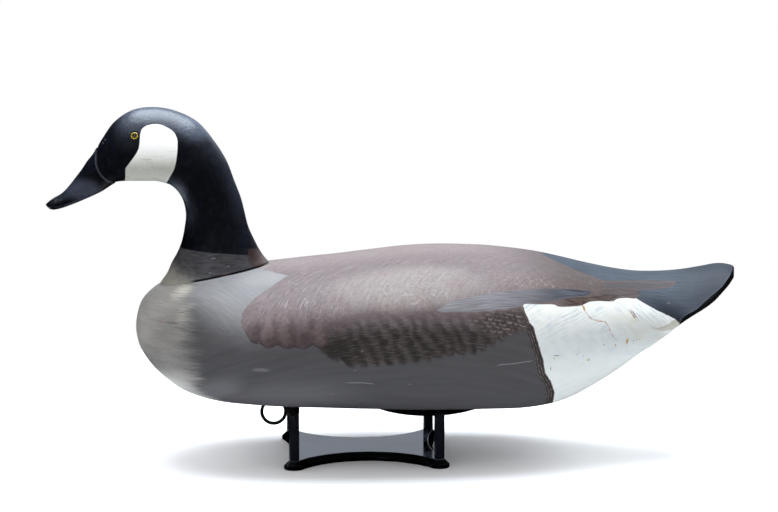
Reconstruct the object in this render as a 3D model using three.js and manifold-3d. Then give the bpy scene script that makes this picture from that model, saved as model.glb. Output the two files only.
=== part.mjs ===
// A carved and painted goose decoy resting on a low four-post display stand.
// Millimetres. +Z is up, the bill points to -X, the tail to +X, and the bird's left side faces -Y.
// The origin lies on the floor, under the middle of the whole object.

import * as THREE from 'three';
import { mergeVertices } from 'three/addons/utils/BufferGeometryUtils.js';
import Module from 'manifold-3d';

const wasm = await Module();
wasm.setup();

// Sizes of the bird
const bodyLength = 541.5;
const bodyWidth = 228;
const bodyHeight = 133;
const breastX = -231.5;
const headHeight = 149;
const seatMiddleX = -160;
const eyeDiameter = 6.8;
const eyeDome = 1.4;
const eyeShank = 2.6;

// Sizes of what is fixed under the bird
const ringDiameter = 24.7;
const ringWire = 3.1;
const ringX = -108.7;
const stapleWire = 2.6;
const stapleLeg = 6;
const weightLength = 126;
const weightWidth = 60;
const weightThickness = 22;
const weightX = 32;

// Sizes of the stand
const standX = -27.5;
const postSpacingX = 128;
const postSpacingY = 126;
const postDiameter = 9.1;
const tipDiameter = 9.8;
const tipHeight = 6.7;
const sheetThickness = 7.6;
const sheetChamfer = 4.5;
const longSideHollowRadius = 70;
const shortSideHollowRadius = 215;
const undersideHeight = 56;

// Gap left between pieces that rest against each other
const contactGap = 0.3;

// The neck's seat is a flat cut across the body's top, rising towards the tail.
// seatFrontShare is its front end's height above the underside, as a share of the body's height.
const seatFrontX = -210;
const seatFrontShare = 0.757;
const seatSlope = 0.185;

// How round the body's back is across: the powers of its curve on the body and on the tail.
const bodyBackPowers = { across: 2.3, down: 2 };
const tailBackPowers = { across: 2, down: 1 };

// The body's stations from the breast to the tail.
// along is in percent of the body's length. half, and flat for the flat underside, are in percent of
// its half width. crown, side, keel and rim are in percent of its height, from the underside up.
// rim is the thickness of the tail's edge. arch turns the round back (0) into the tail's roof (1).
// bilge is the fullness of the lower sides.
const bodyStations = [
  { along: 0, half: 0, flat: 0, crown: 47.4, side: 47.4, keel: 47.4, rim: 0, arch: 0, bilge: 2 },
  { along: 0.7, half: 23.7, flat: 0, crown: 62, side: 47.4, keel: 33.5, rim: 0, arch: 0, bilge: 2 },
  { along: 2.4, half: 40.4, flat: 1.8, crown: 71.1, side: 46.6, keel: 22.8, rim: 0, arch: 0, bilge: 2 },
  { along: 5, half: 55.3, flat: 5.3, crown: 77.8, side: 45.9, keel: 13.1, rim: 0, arch: 0, bilge: 2.1 },
  { along: 8.6, half: 69.3, flat: 16, crown: 82.3, side: 45.5, keel: 5, rim: 0, arch: 0, bilge: 2.1 },
  { along: 14.1, half: 82.5, flat: 32, crown: 85.7, side: 45.9, keel: 0.5, rim: 0, arch: 0, bilge: 2 },
  { along: 22.4, half: 93.9, flat: 51, crown: 89.5, side: 45.9, keel: 0, rim: 0, arch: 0, bilge: 2 },
  { along: 33.5, half: 99.6, flat: 63.2, crown: 94, side: 45.9, keel: 0, rim: 0, arch: 0, bilge: 2.1 },
  { along: 46.4, half: 99.1, flat: 73.7, crown: 99.8, side: 45.9, keel: 0, rim: 0, arch: 0, bilge: 2.2 },
  { along: 56, half: 94.3, flat: 74.6, crown: 99.8, side: 45.9, keel: 0, rim: 0, arch: 0, bilge: 2.2 },
  { along: 62.1, half: 88.6, flat: 72, crown: 97.7, side: 45.9, keel: 0, rim: 0, arch: 0, bilge: 2.2 },
  { along: 66.4, half: 82.5, flat: 61, crown: 95.3, side: 45.9, keel: 0, rim: 0, arch: 0, bilge: 2.1 },
  { along: 70.5, half: 75.9, flat: 43, crown: 91.9, side: 45.9, keel: 1.1, rim: 0, arch: 0.05, bilge: 2 },
  { along: 74.5, half: 68.9, flat: 25, crown: 88, side: 46.6, keel: 5.6, rim: 0, arch: 0.12, bilge: 2 },
  { along: 78.9, half: 61, flat: 11, crown: 84.2, side: 48.1, keel: 13.9, rim: 0.2, arch: 0.3, bilge: 2 },
  { along: 83.4, half: 53.5, flat: 1.8, crown: 81.7, side: 50.8, keel: 25.6, rim: 1.1, arch: 0.55, bilge: 2 },
  { along: 87.6, half: 47.8, flat: 0, crown: 81.5, side: 54.3, keel: 38.3, rim: 2.3, arch: 0.8, bilge: 2 },
  { along: 91.1, half: 43.9, flat: 0, crown: 82.7, side: 58.6, keel: 52.6, rim: 2.7, arch: 1, bilge: 2 },
  { along: 94.5, half: 38.2, flat: 0, crown: 84.8, side: 66.2, keel: 63.2, rim: 3.2, arch: 1, bilge: 2 },
  { along: 97, half: 30.3, flat: 0, crown: 86.5, side: 75.6, keel: 71.1, rim: 4.7, arch: 1, bilge: 2 },
  { along: 98.8, half: 18.9, flat: 0, crown: 86.2, side: 82, keel: 76.1, rim: 5.9, arch: 1, bilge: 2 },
  { along: 100, half: 0, flat: 0, crown: 83.8, side: 83.8, keel: 78.2, rim: 5.6, arch: 1, bilge: 2 },
];

// The head and neck's stations above the seat, up to the tip of the bill, in percent of the head's height.
// throat and nape are the front and back points of each cut, measured along and up from the seat's middle.
// half is half the cut's width, and pinch narrows the cut towards the nape.
const neckStations = [
  { throat: [-29.2, 0.1], nape: [31.8, 7], half: 23.2, pinch: 0 },
  { throat: [-26.2, 6.8], nape: [28.9, 10.5], half: 21.1, pinch: 0 },
  { throat: [-22.8, 12.8], nape: [25.9, 15.5], half: 19.5, pinch: 0 },
  { throat: [-20.1, 19.5], nape: [22.9, 21.5], half: 18.3, pinch: 0 },
  { throat: [-18.3, 27.6], nape: [20, 28.3], half: 17.3, pinch: 0 },
  { throat: [-17.4, 35.6], nape: [17.9, 37], half: 16.8, pinch: 0 },
  { throat: [-18.8, 43.4], nape: [15.5, 46.4], half: 16.8, pinch: 0 },
  { throat: [-21.8, 49.2], nape: [11.8, 56.4], half: 17.2, pinch: 0.02 },
  { throat: [-26, 53.2], nape: [7.4, 67.9], half: 17.9, pinch: 0.05 },
  { throat: [-30.3, 54.8], nape: [0.5, 79.1], half: 18.8, pinch: 0.1 },
  { throat: [-34.9, 55.8], nape: [-9.2, 90.8], half: 19.6, pinch: 0.14 },
  { throat: [-39.6, 55.8], nape: [-21.5, 97.4], half: 20.1, pinch: 0.17 },
  { throat: [-44.3, 55.8], nape: [-34.9, 100.1], half: 20.3, pinch: 0.18 },
  { throat: [-49, 55.8], nape: [-47.8, 98.5], half: 19.8, pinch: 0.17 },
  { throat: [-53.7, 55.8], nape: [-58.9, 91.6], half: 18.3, pinch: 0.14 },
  { throat: [-57.7, 55.4], nape: [-66.1, 81.9], half: 15.7, pinch: 0.1 },
  { throat: [-60.4, 54.1], nape: [-71.5, 73], half: 13.4, pinch: 0.08 },
  { throat: [-66.4, 50], nape: [-75.7, 67.9], half: 11.9, pinch: 0.1 },
  { throat: [-73.2, 46.7], nape: [-79.9, 61.8], half: 11, pinch: 0.12 },
  { throat: [-83.2, 42.5], nape: [-89.3, 50.4], half: 10.3, pinch: 0.1 },
  { throat: [-91.9, 39.5], nape: [-96.6, 45.7], half: 9.1, pinch: 0.05 },
  { throat: [-97.3, 39], nape: [-99.7, 43.4], half: 6, pinch: 0 },
  { throat: [-100.7, 41.7], nape: [-100.7, 41.7], half: 0, pinch: 0 },
];

// The neck spreads into the seat's own outline over this many stations.
const spreadStations = 4;

// The eye's place: the station of the cut that it lies on, and its turn from the throat in degrees.
const eyeStation = 13.8;
const eyeTurn = 108;

// Fineness of the searches and slopes along the lofts
const searchSteps = 40;
const seatStep = 0.1;
const slopeStep = 0.05;

// Fineness of the facets
const rowsPerBodyStation = 2;
const backColumns = 11;
const bilgeColumns = 8;
const flatColumns = 2;
const rowsPerNeckStation = 2;
const neckColumns = 30;
const roundSides = 20;
const wireSides = 10;
const ringSteps = 28;
const stapleSteps = 16;
const weightRows = 7;
const cornerSteps = 10;
const domeSteps = 4;
const longHollowSteps = 20;
const shortHollowSteps = 8;

// Materials
function material(colour, roughness, metalness) {
  return new THREE.MeshStandardMaterial({ color: colour, roughness, metalness });
}
const bodyPaint = material(0x6b625f, 0.6, 0);
const headPaint = material(0x14161c, 0.45, 0);
const eyeGlass = material(0x8a5a14, 0.1, 0);
const rustyWire = material(0x3a2a22, 0.6, 0.6);
const darkLead = material(0x2e2b2a, 0.7, 0.2);
const standGloss = material(0x0a0a0b, 0.15, 0);
const tipRubber = material(0x161616, 0.8, 0);

function namedMesh(name, geometry, meshMaterial) {
  const mesh = new THREE.Mesh(geometry, meshMaterial);
  mesh.name = name;
  return mesh;
}

// Smooth value at a place in a list of values, one for each station (Catmull-Rom).
// before and after are the values that would come beyond its ends.
function smoothValue(values, place, before, after) {
  const last = values.length - 1;
  const valueAt = (i) => (i < 0 ? before : i > last ? after : values[i]);
  const start = Math.min(Math.floor(place), last - 1);
  const share = place - start;
  const [a, b, c, d] = [-1, 0, 1, 2].map((step) => valueAt(start + step));
  const slope = c - a;
  const bend = 2 * a - 5 * b + 4 * c - d;
  const twist = 3 * (b - c) + d - a;
  return b + (share * (slope + share * (bend + share * twist))) / 2;
}

// A number of the body's stations at a place along it. Beyond both ends the body is mirrored,
// so that its rounded ends close with an upright tangent.
function bodyValue(key, mirroredKey, mirroredSign, place) {
  const values = bodyStations.map((station) => station[key]);
  const mirrored = bodyStations.map((station) => mirroredSign * station[mirroredKey]);
  return smoothValue(values, place, mirrored[1], mirrored[mirrored.length - 2]) / 100;
}

// The body's cut at a place: where it is, and the heights and width that shape it.
function bodyCut(place) {
  const arch = bodyValue('arch', 'arch', 1, place) * 100;
  return {
    x: breastX + bodyValue('along', 'along', 1, place) * bodyLength,
    half: (Math.max(bodyValue('half', 'half', -1, place), 0) * bodyWidth) / 2,
    flat: (Math.max(bodyValue('flat', 'flat', -1, place), 0) * bodyWidth) / 2,
    crown: undersideHeight + bodyValue('crown', 'keel', 1, place) * bodyHeight,
    side: undersideHeight + bodyValue('side', 'side', 1, place) * bodyHeight,
    keel: undersideHeight + Math.max(bodyValue('keel', 'crown', 1, place), 0) * bodyHeight,
    rim: Math.max(bodyValue('rim', 'rim', 1, place), 0) * bodyHeight,
    arch: Math.min(Math.max(arch, 0), 1),
    bilge: bodyValue('bilge', 'bilge', 1, place) * 100,
  };
}

// The powers of the back's curve in a cut, between the body's and the tail's.
function backPowers(cut) {
  return {
    across: THREE.MathUtils.lerp(bodyBackPowers.across, tailBackPowers.across, cut.arch),
    down: THREE.MathUtils.lerp(bodyBackPowers.down, tailBackPowers.down, cut.arch),
  };
}

function backHeight(cut, share) {
  const powers = backPowers(cut);
  const fall = Math.max(1 - share ** powers.across, 0) ** (1 / powers.down);
  return cut.side + (cut.crown - cut.side) * fall;
}

// Half the width of the body's back at a height, in a cut.
function backHalfWidth(cut, height) {
  const powers = backPowers(cut);
  const level = Math.max((height - cut.side) / (cut.crown - cut.side), 0);
  return cut.half * Math.max(1 - level ** powers.down, 0) ** (1 / powers.across);
}

// One side of a cut from the crown to the keel, as points across and up.
function halfOutline(cut) {
  const points = [];
  for (let i = 0; i <= backColumns; i += 1) {
    const share = Math.sin((i / backColumns) * (Math.PI / 2));
    points.push([cut.half * share, backHeight(cut, share)]);
  }
  const edge = cut.side - cut.rim;
  for (let i = 0; i <= bilgeColumns; i += 1) {
    const share = Math.cos((i / bilgeColumns) * (Math.PI / 2));
    const fall = Math.max(1 - share ** cut.bilge, 0) ** (1 / cut.bilge);
    points.push([cut.flat + (cut.half - cut.flat) * share, edge - (edge - cut.keel) * fall]);
  }
  for (let i = 1; i <= flatColumns; i += 1) {
    points.push([cut.flat * (1 - i / flatColumns), cut.keel]);
  }
  return points;
}

function bodyRing(place) {
  const cut = bodyCut(place);
  const nearSide = halfOutline(cut);
  const farSide = nearSide.slice(1, -1).reverse();
  const near = nearSide.map(([y, z]) => new THREE.Vector3(cut.x, -y, z));
  const far = farSide.map(([y, z]) => new THREE.Vector3(cut.x, y, z));
  return [...near, ...far];
}

// The place along the body of a given x.
function placeAtX(x) {
  let low = 0;
  let high = bodyStations.length - 1;
  for (let step = 0; step < searchSteps; step += 1) {
    const middle = (low + high) / 2;
    if (bodyCut(middle).x < x) {
      low = middle;
    } else {
      high = middle;
    }
  }
  return (low + high) / 2;
}

function seatHeight(x) {
  return undersideHeight + bodyHeight * seatFrontShare + seatSlope * (x - seatFrontX);
}

// Half the width of the neck's seat at x, where the body's back passes through the seat's plane.
function seatHalfWidth(x) {
  return backHalfWidth(bodyCut(placeAtX(x)), seatHeight(x));
}

// The seat's front and back ends: the first x on either side of its middle where its width is gone.
function seatEnd(direction) {
  let x = seatMiddleX;
  while (seatHalfWidth(x) > 0) {
    x += direction * seatStep;
  }
  return x;
}

// A closed mesh as a solid for joining and cutting, and back.
function toSolid(geometry) {
  const bare = new THREE.BufferGeometry();
  bare.setAttribute('position', geometry.getAttribute('position'));
  bare.setIndex(geometry.getIndex());
  const merged = mergeVertices(bare, 1e-3);
  const index = merged.getIndex().array;
  const kept = [];
  for (let i = 0; i < index.length; i += 3) {
    const [a, b, c] = [index[i], index[i + 1], index[i + 2]];
    if (a !== b && b !== c && c !== a) {
      kept.push(a, b, c);
    }
  }
  return new wasm.Manifold(new wasm.Mesh({
    numProp: 3,
    vertProperties: new Float32Array(merged.getAttribute('position').array),
    triVerts: new Uint32Array(kept),
  }));
}

function toGeometry(solid) {
  const mesh = solid.getMesh();
  const geometry = new THREE.BufferGeometry();
  geometry.setAttribute('position', new THREE.BufferAttribute(mesh.vertProperties, 3));
  geometry.setIndex(new THREE.BufferAttribute(mesh.triVerts, 1));
  geometry.computeVertexNormals();
  return geometry;
}

// A skin over closed rings of equally many points, with each end ring closed by a fan.
// The rings run so that the skin's outside is on their right-hand side.
function skin(rings) {
  const columns = rings[0].length;
  const positions = rings.flat().flatMap((point) => point.toArray());
  const index = [];
  for (let row = 0; row < rings.length - 1; row += 1) {
    for (let column = 0; column < columns; column += 1) {
      const a = row * columns + column;
      const b = row * columns + ((column + 1) % columns);
      index.push(a, b, a + columns, b, b + columns, a + columns);
    }
  }
  const endRings = [[0, 1], [rings.length - 1, -1]];
  for (const [row, turn] of endRings) {
    const middle = new THREE.Vector3();
    rings[row].forEach((point) => middle.addScaledVector(point, 1 / columns));
    const hub = positions.length / 3;
    positions.push(...middle.toArray());
    for (let column = 0; column < columns; column += 1) {
      const a = row * columns + column;
      const b = row * columns + ((column + 1) % columns);
      index.push(...(turn > 0 ? [hub, b, a] : [hub, a, b]));
    }
  }
  const geometry = new THREE.BufferGeometry();
  geometry.setAttribute('position', new THREE.Float32BufferAttribute(positions, 3));
  geometry.setIndex(index);
  return geometry;
}

// The space above the neck's seat, which is cut out of the body.
function aboveSeat() {
  const rise = headHeight;
  const box = new THREE.BoxGeometry(bodyLength / 2, bodyWidth, rise);
  box.translate(0, 0, rise / 2);
  box.rotateY(-Math.atan(seatSlope));
  box.translate(seatMiddleX, 0, seatHeight(seatMiddleX));
  return toSolid(box);
}

function bodySolid() {
  const rings = [];
  const rows = (bodyStations.length - 1) * rowsPerBodyStation;
  for (let row = 0; row <= rows; row += 1) {
    rings.push(bodyRing(row / rowsPerBodyStation));
  }
  return toSolid(skin(rings)).subtract(aboveSeat());
}

// The neck's stations with the seat itself as the first one.
function neckStationsFromSeat() {
  const seatZ = seatHeight(seatMiddleX);
  const fromSeat = (x) => [
    (100 * (x - seatMiddleX)) / headHeight,
    (100 * (seatHeight(x) + contactGap - seatZ)) / headHeight,
  ];
  const [front, back] = [seatEnd(-1), seatEnd(1)];
  const half = (100 * seatHalfWidth((front + back) / 2)) / headHeight;
  const seat = { throat: fromSeat(front), nape: fromSeat(back), half, pinch: 0 };
  return [seat, ...neckStations];
}

const headStations = neckStationsFromSeat();

// A number of the head's stations at a place. Below the seat it runs on straight,
// and beyond the bill's tip it is mirrored.
function headValue(read, mirroredRead, place) {
  const values = headStations.map(read);
  const before = 2 * values[0] - values[1];
  const after = mirroredRead(headStations[headStations.length - 2]);
  return smoothValue(values, place, before, after) / 100;
}

function headCut(place) {
  const origin = new THREE.Vector3(seatMiddleX, 0, seatHeight(seatMiddleX));
  const point = (key, mirroredKey) => {
    const along = headValue((s) => s[key][0], (s) => s[mirroredKey][0], place);
    const up = headValue((s) => s[key][1], (s) => s[mirroredKey][1], place);
    return new THREE.Vector3(along, 0, up).multiplyScalar(headHeight).add(origin);
  };
  return {
    throat: point('throat', 'nape'),
    nape: point('nape', 'throat'),
    half: Math.max(headValue((s) => s.half, (s) => -s.half, place), 0) * headHeight,
    pinch: headValue((s) => s.pinch, (s) => s.pinch, place) * 100,
  };
}

// The point of a cut at a turn from the throat, on the bird's left side for turns up to half a circle.
function headPoint(cut, turn) {
  const middle = cut.throat.clone().add(cut.nape).divideScalar(2);
  const forward = cut.throat.clone().sub(cut.nape).divideScalar(2);
  const across = cut.half * Math.sin(turn) * (1 + cut.pinch * Math.cos(turn));
  return middle.addScaledVector(forward, Math.cos(turn)).add(new THREE.Vector3(0, -across, 0));
}

function headRing(place) {
  const cut = headCut(place);
  const spread = Math.max(1 - place / spreadStations, 0) ** 2;
  const seatCut = headCut(0);
  const ring = [];
  for (let column = 0; column < neckColumns; column += 1) {
    const turn = (2 * Math.PI * column) / neckColumns;
    const point = headPoint(cut, turn);
    const seatPoint = headPoint(seatCut, turn);
    const seatShape = seatHalfWidth(seatPoint.x) / seatCut.half;
    const outline = -Math.sign(Math.sin(turn)) * seatShape * cut.half;
    point.y += (outline - point.y) * spread;
    ring.push(point);
  }
  return ring;
}

// The eye's middle on the skin of the head's left side, and the way it looks.
function eyeAxis() {
  const turn = THREE.MathUtils.degToRad(eyeTurn);
  const at = (place, angle) => headPoint(headCut(place), angle);
  const middle = at(eyeStation, turn);
  const along = at(eyeStation + slopeStep, turn).sub(at(eyeStation - slopeStep, turn));
  const around = at(eyeStation, turn + slopeStep).sub(at(eyeStation, turn - slopeStep));
  const outward = along.cross(around).normalize();
  outward.y = -Math.abs(outward.y);
  return { middle, outward };
}

// A turned shape set on the eye's axis, on the left (side -1) or the right (side 1).
function onEyeAxis(profile, side) {
  const lathe = new THREE.LatheGeometry(profile.map(([r, h]) => new THREE.Vector2(r, h)), roundSides);
  const { middle, outward } = eyeAxis();
  const flip = new THREE.Vector3(1, -side, 1);
  middle.multiply(flip);
  outward.multiply(flip);
  const turn = new THREE.Quaternion().setFromUnitVectors(new THREE.Vector3(0, 1, 0), outward);
  lathe.applyQuaternion(turn);
  lathe.translate(...middle.toArray());
  return toSolid(lathe);
}

// The glass eye: a short shank with a low dome.
function eyeSolid(side) {
  const radius = eyeDiameter / 2;
  const profile = [[0, -eyeShank], [radius, -eyeShank]];
  for (let i = 0; i <= domeSteps; i += 1) {
    const angle = (i / domeSteps) * (Math.PI / 2);
    profile.push([radius * Math.cos(angle), eyeDome * Math.sin(angle)]);
  }
  return onEyeAxis(profile, side);
}

// The hole that the eye sits in, reaching well out of the head.
function eyeHole(side) {
  const radius = eyeDiameter / 2 + contactGap;
  const bottom = -eyeShank - contactGap;
  const top = eyeDiameter;
  return onEyeAxis([[0, bottom], [radius, bottom], [radius, top], [0, top]], side);
}

function headSolid() {
  const rings = [];
  const rows = (headStations.length - 1) * rowsPerNeckStation;
  for (let row = 0; row <= rows; row += 1) {
    rings.push(headRing(row / rowsPerNeckStation));
  }
  return toSolid(skin(rings)).subtract(eyeHole(-1)).subtract(eyeHole(1));
}

// The body's own underside on its middle line at x.
function keelHeight(x) {
  return Math.max(bodyCut(placeAtX(x)).keel, undersideHeight);
}

// The staple is a U of wire across the body's middle line, and the ring's wire lies in its bend.
const stapleBendRadius = ringWire / 2 + contactGap + stapleWire / 2;
const stapleTop = keelHeight(ringX) - contactGap;
const ringTopWireZ = stapleTop - stapleLeg;

class StapleCurve extends THREE.Curve {
  getPoint(share, target = new THREE.Vector3()) {
    const bend = Math.PI * stapleBendRadius;
    const run = share * (2 * stapleLeg + bend);
    if (run < stapleLeg) {
      return target.set(ringX, -stapleBendRadius, stapleTop - run);
    }
    if (run > stapleLeg + bend) {
      return target.set(ringX, stapleBendRadius, stapleTop - 2 * stapleLeg - bend + run);
    }
    const angle = (run - stapleLeg) / stapleBendRadius;
    const across = -stapleBendRadius * Math.cos(angle);
    return target.set(ringX, across, ringTopWireZ - stapleBendRadius * Math.sin(angle));
  }
}

function stapleGeometry() {
  const section = new THREE.Shape();
  section.absarc(0, 0, stapleWire / 2, 0, 2 * Math.PI);
  return new THREE.ExtrudeGeometry(section, {
    steps: stapleSteps, curveSegments: wireSides / 2, bevelEnabled: false, extrudePath: new StapleCurve(),
  });
}

// The line ring hangs face-on to the bird's sides.
function ringGeometry() {
  const radius = (ringDiameter - ringWire) / 2;
  const ring = new THREE.TorusGeometry(radius, ringWire / 2, wireSides, ringSteps);
  ring.rotateX(Math.PI / 2);
  ring.translate(ringX, 0, ringTopWireZ - radius);
  return ring;
}

// The weight is a shallow oval lens, flat where it lies against the underside.
function weightGeometry() {
  const radius = weightLength / 2;
  const points = [];
  for (let i = 0; i <= weightRows; i += 1) {
    const angle = (i / weightRows) * (Math.PI / 2);
    points.push(new THREE.Vector2(radius * Math.sin(angle), -weightThickness * Math.cos(angle)));
  }
  points.push(new THREE.Vector2(0, 0));
  const weight = new THREE.LatheGeometry(points, 2 * roundSides);
  weight.rotateX(Math.PI / 2);
  weight.scale(1, weightWidth / weightLength, 1);
  weight.translate(weightX, 0, undersideHeight - contactGap);
  return weight;
}

// The stand's sheet, seen from above: a round corner at each post, and a hollow along each side
// that runs smoothly into both corners. grow moves the whole outline outwards.
function sheetOutline(grow) {
  const corner = postDiameter / 2;
  const points = [];
  const arc = (x, y, radius, from, to, steps) => {
    for (let i = 0; i < steps; i += 1) {
      const angle = from + ((to - from) * i) / steps;
      points.push(new THREE.Vector2(x + radius * Math.cos(angle), y + radius * Math.sin(angle)));
    }
  };
  const longTilt = Math.acos(postSpacingX / 2 / (longSideHollowRadius + corner));
  const shortTilt = Math.acos(postSpacingY / 2 / (shortSideHollowRadius + corner));
  const longOut = postSpacingY / 2 + (longSideHollowRadius + corner) * Math.sin(longTilt);
  const shortOut = postSpacingX / 2 + (shortSideHollowRadius + corner) * Math.sin(shortTilt);
  const turn = Math.PI / 2;
  for (const [sx, sy, start] of [[1, 1, 0], [-1, 1, 1], [-1, -1, 2], [1, -1, 3]]) {
    const alongY = start % 2 === 0;
    const [before, after] = alongY ? [shortTilt, longTilt] : [longTilt, shortTilt];
    const cornerFrom = start * turn - turn + before;
    const cornerTo = start * turn + 2 * turn - after;
    arc(sx * postSpacingX / 2, sy * postSpacingY / 2, corner + grow, cornerFrom, cornerTo, cornerSteps);
    const radius = (alongY ? longSideHollowRadius : shortSideHollowRadius) - grow;
    const [hx, hy] = [[0, longOut], [-shortOut, 0], [0, -longOut], [shortOut, 0]][start];
    const steps = alongY ? longHollowSteps : shortHollowSteps;
    arc(hx, hy, radius, cornerTo + 2 * turn, cornerTo + 2 * after, steps);
  }
  return points;
}

// The sheet with its bevelled upper edge.
function sheetGeometry() {
  const levels = [
    { z: 0, outline: sheetOutline(sheetChamfer) },
    { z: sheetThickness - sheetChamfer, outline: sheetOutline(sheetChamfer) },
    { z: sheetThickness, outline: sheetOutline(0) },
  ];
  const count = levels[0].outline.length;
  const positions = levels.flatMap(({ z, outline }) => outline.flatMap((p) => [p.x + standX, p.y, z]));
  const index = [];
  for (let level = 0; level < levels.length - 1; level += 1) {
    for (let i = 0; i < count; i += 1) {
      const a = level * count + i;
      const b = level * count + ((i + 1) % count);
      index.push(a, b, a + count, b, b + count, a + count);
    }
  }
  const top = (levels.length - 1) * count;
  for (const [a, b, c] of THREE.ShapeUtils.triangulateShape(levels[0].outline, [])) {
    index.push(a, c, b);
  }
  for (const [a, b, c] of THREE.ShapeUtils.triangulateShape(levels[2].outline, [])) {
    index.push(top + a, top + b, top + c);
  }
  const geometry = new THREE.BufferGeometry();
  geometry.setAttribute('position', new THREE.Float32BufferAttribute(positions, 3));
  geometry.setIndex(index);
  geometry.computeVertexNormals();
  return geometry;
}

const tipTop = undersideHeight - contactGap;
const postBottom = sheetThickness + contactGap;
const postTop = tipTop - tipHeight - contactGap;

function postGeometry() {
  const post = new THREE.CylinderGeometry(postDiameter / 2, postDiameter / 2, postTop - postBottom, roundSides);
  post.rotateX(Math.PI / 2);
  post.translate(0, 0, (postTop + postBottom) / 2);
  return post;
}

// A soft tip with rounded edges above and below.
function tipGeometry() {
  const radius = tipDiameter / 2;
  const round = tipHeight / 6;
  const profile = [[0, 0], [radius - round, 0], [radius, round], [radius, tipHeight - round],
    [radius - round, tipHeight], [0, tipHeight]];
  const tip = new THREE.LatheGeometry(profile.map(([r, h]) => new THREE.Vector2(r, h)), roundSides);
  tip.rotateX(Math.PI / 2);
  tip.translate(0, 0, tipTop - tipHeight);
  return tip;
}

const postPlaces = [
  ['front_left', -1, -1],
  ['front_right', 1, -1],
  ['rear_left', -1, 1],
  ['rear_right', 1, 1],
];

function buildStand() {
  const stand = new THREE.Group();
  stand.add(namedMesh('stand_base', sheetGeometry(), standGloss));
  for (const [place, sideX, sideY] of postPlaces) {
    const post = namedMesh(`stand_post_${place}`, postGeometry(), standGloss);
    const tip = namedMesh(`post_tip_${place}`, tipGeometry(), tipRubber);
    for (const piece of [post, tip]) {
      piece.position.set(standX + (sideX * postSpacingX) / 2, (sideY * postSpacingY) / 2, 0);
      stand.add(piece);
    }
  }
  return stand;
}

function buildBird() {
  const bird = new THREE.Group();
  bird.add(namedMesh('body', toGeometry(bodySolid()), bodyPaint));
  bird.add(namedMesh('head_and_neck', toGeometry(headSolid()), headPaint));
  bird.add(namedMesh('eye_left', toGeometry(eyeSolid(-1)), eyeGlass));
  bird.add(namedMesh('eye_right', toGeometry(eyeSolid(1)), eyeGlass));
  bird.add(namedMesh('ring_staple', stapleGeometry(), rustyWire));
  bird.add(namedMesh('line_ring', ringGeometry(), rustyWire));
  bird.add(namedMesh('ballast_weight', weightGeometry(), darkLead));
  return bird;
}

const decoy = new THREE.Group();
decoy.name = 'goose_decoy';
decoy.add(buildBird(), buildStand());

export default decoy;
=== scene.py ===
# The looks of a carved and painted goose decoy on its display stand.
# Shapes and paint are worked out in millimetres in the part's own frame: the bill points to -X, the bird's
# left side faces -Y, +Z is up and the origin lies on the floor. Blender gets them in metres.
import math

import bmesh
import bpy
import numpy as np
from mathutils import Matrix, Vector


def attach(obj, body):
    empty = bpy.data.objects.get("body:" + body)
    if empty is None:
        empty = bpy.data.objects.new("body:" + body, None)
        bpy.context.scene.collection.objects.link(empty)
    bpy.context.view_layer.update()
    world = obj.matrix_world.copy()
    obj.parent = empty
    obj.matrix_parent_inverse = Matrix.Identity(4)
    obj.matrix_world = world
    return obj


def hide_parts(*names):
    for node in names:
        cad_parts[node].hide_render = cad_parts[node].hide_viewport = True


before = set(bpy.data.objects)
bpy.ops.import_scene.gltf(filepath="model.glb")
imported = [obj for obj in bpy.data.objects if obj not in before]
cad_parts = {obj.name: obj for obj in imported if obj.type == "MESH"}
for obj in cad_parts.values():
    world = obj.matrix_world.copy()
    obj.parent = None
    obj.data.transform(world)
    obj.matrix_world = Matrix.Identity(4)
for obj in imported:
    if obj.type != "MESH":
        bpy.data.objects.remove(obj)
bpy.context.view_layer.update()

MM = 0.001

# Sizes of the bird
BODY_LENGTH = 541.5
BODY_WIDTH = 228
BODY_HEIGHT = 133
BREAST_X = -231.5
UNDERSIDE = 56
HEAD_HEIGHT = 149
SEAT_MIDDLE_X = -160
SEAT_FRONT_X = -210
SEAT_FRONT_SHARE = 0.757
SEAT_SLOPE = 0.185
CONTACT_GAP = 0.3
BODY_BACK_POWERS = (2.3, 2)
TAIL_BACK_POWERS = (2, 1)
SHARP_ANGLE = 40
CARVING_LEAST = 0.1
CARVING_DEPTH = 0.2
BILL_TIP_INSET = 0.3
EYE_RADIUS = 3.4
EYE_BULGE = 0.9
EYE_STATION = 13.8
EYE_TURN = 108
PUPIL_RADIUS = 2.1
IRIS_RIM_RADIUS = 3.05
SEAM_GAP_FRONT = (-182, -174)
SEAM_GAP_BACK = (-112, -118)
SEAM_GAP_DEPTH = 2

# Sizes of what is fixed under the bird
RING_DIAMETER = 24.7
RING_WIRE = 3.1
RING_X = -108.7
STAPLE_WIRE = 2.6
STAPLE_LEG = 6
WEIGHT_LENGTH = 126
WEIGHT_WIDTH = 60
WEIGHT_THICKNESS = 22
WEIGHT_X = 32

# Sizes of the stand
STAND_X = -27.5
POST_SPACING_X = 128
POST_SPACING_Y = 126
POST_DIAMETER = 9.1
POST_EDGE = 0.3
TIP_DIAMETER = 9.8
TIP_HEIGHT = 6.7
TIP_EDGE = 1.1
SHEET_THICKNESS = 7.6
SHEET_CHAMFER = 4.5
SHEET_EDGE = 0.5
LONG_HOLLOW_RADIUS = 70
SHORT_HOLLOW_RADIUS = 215

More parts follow.
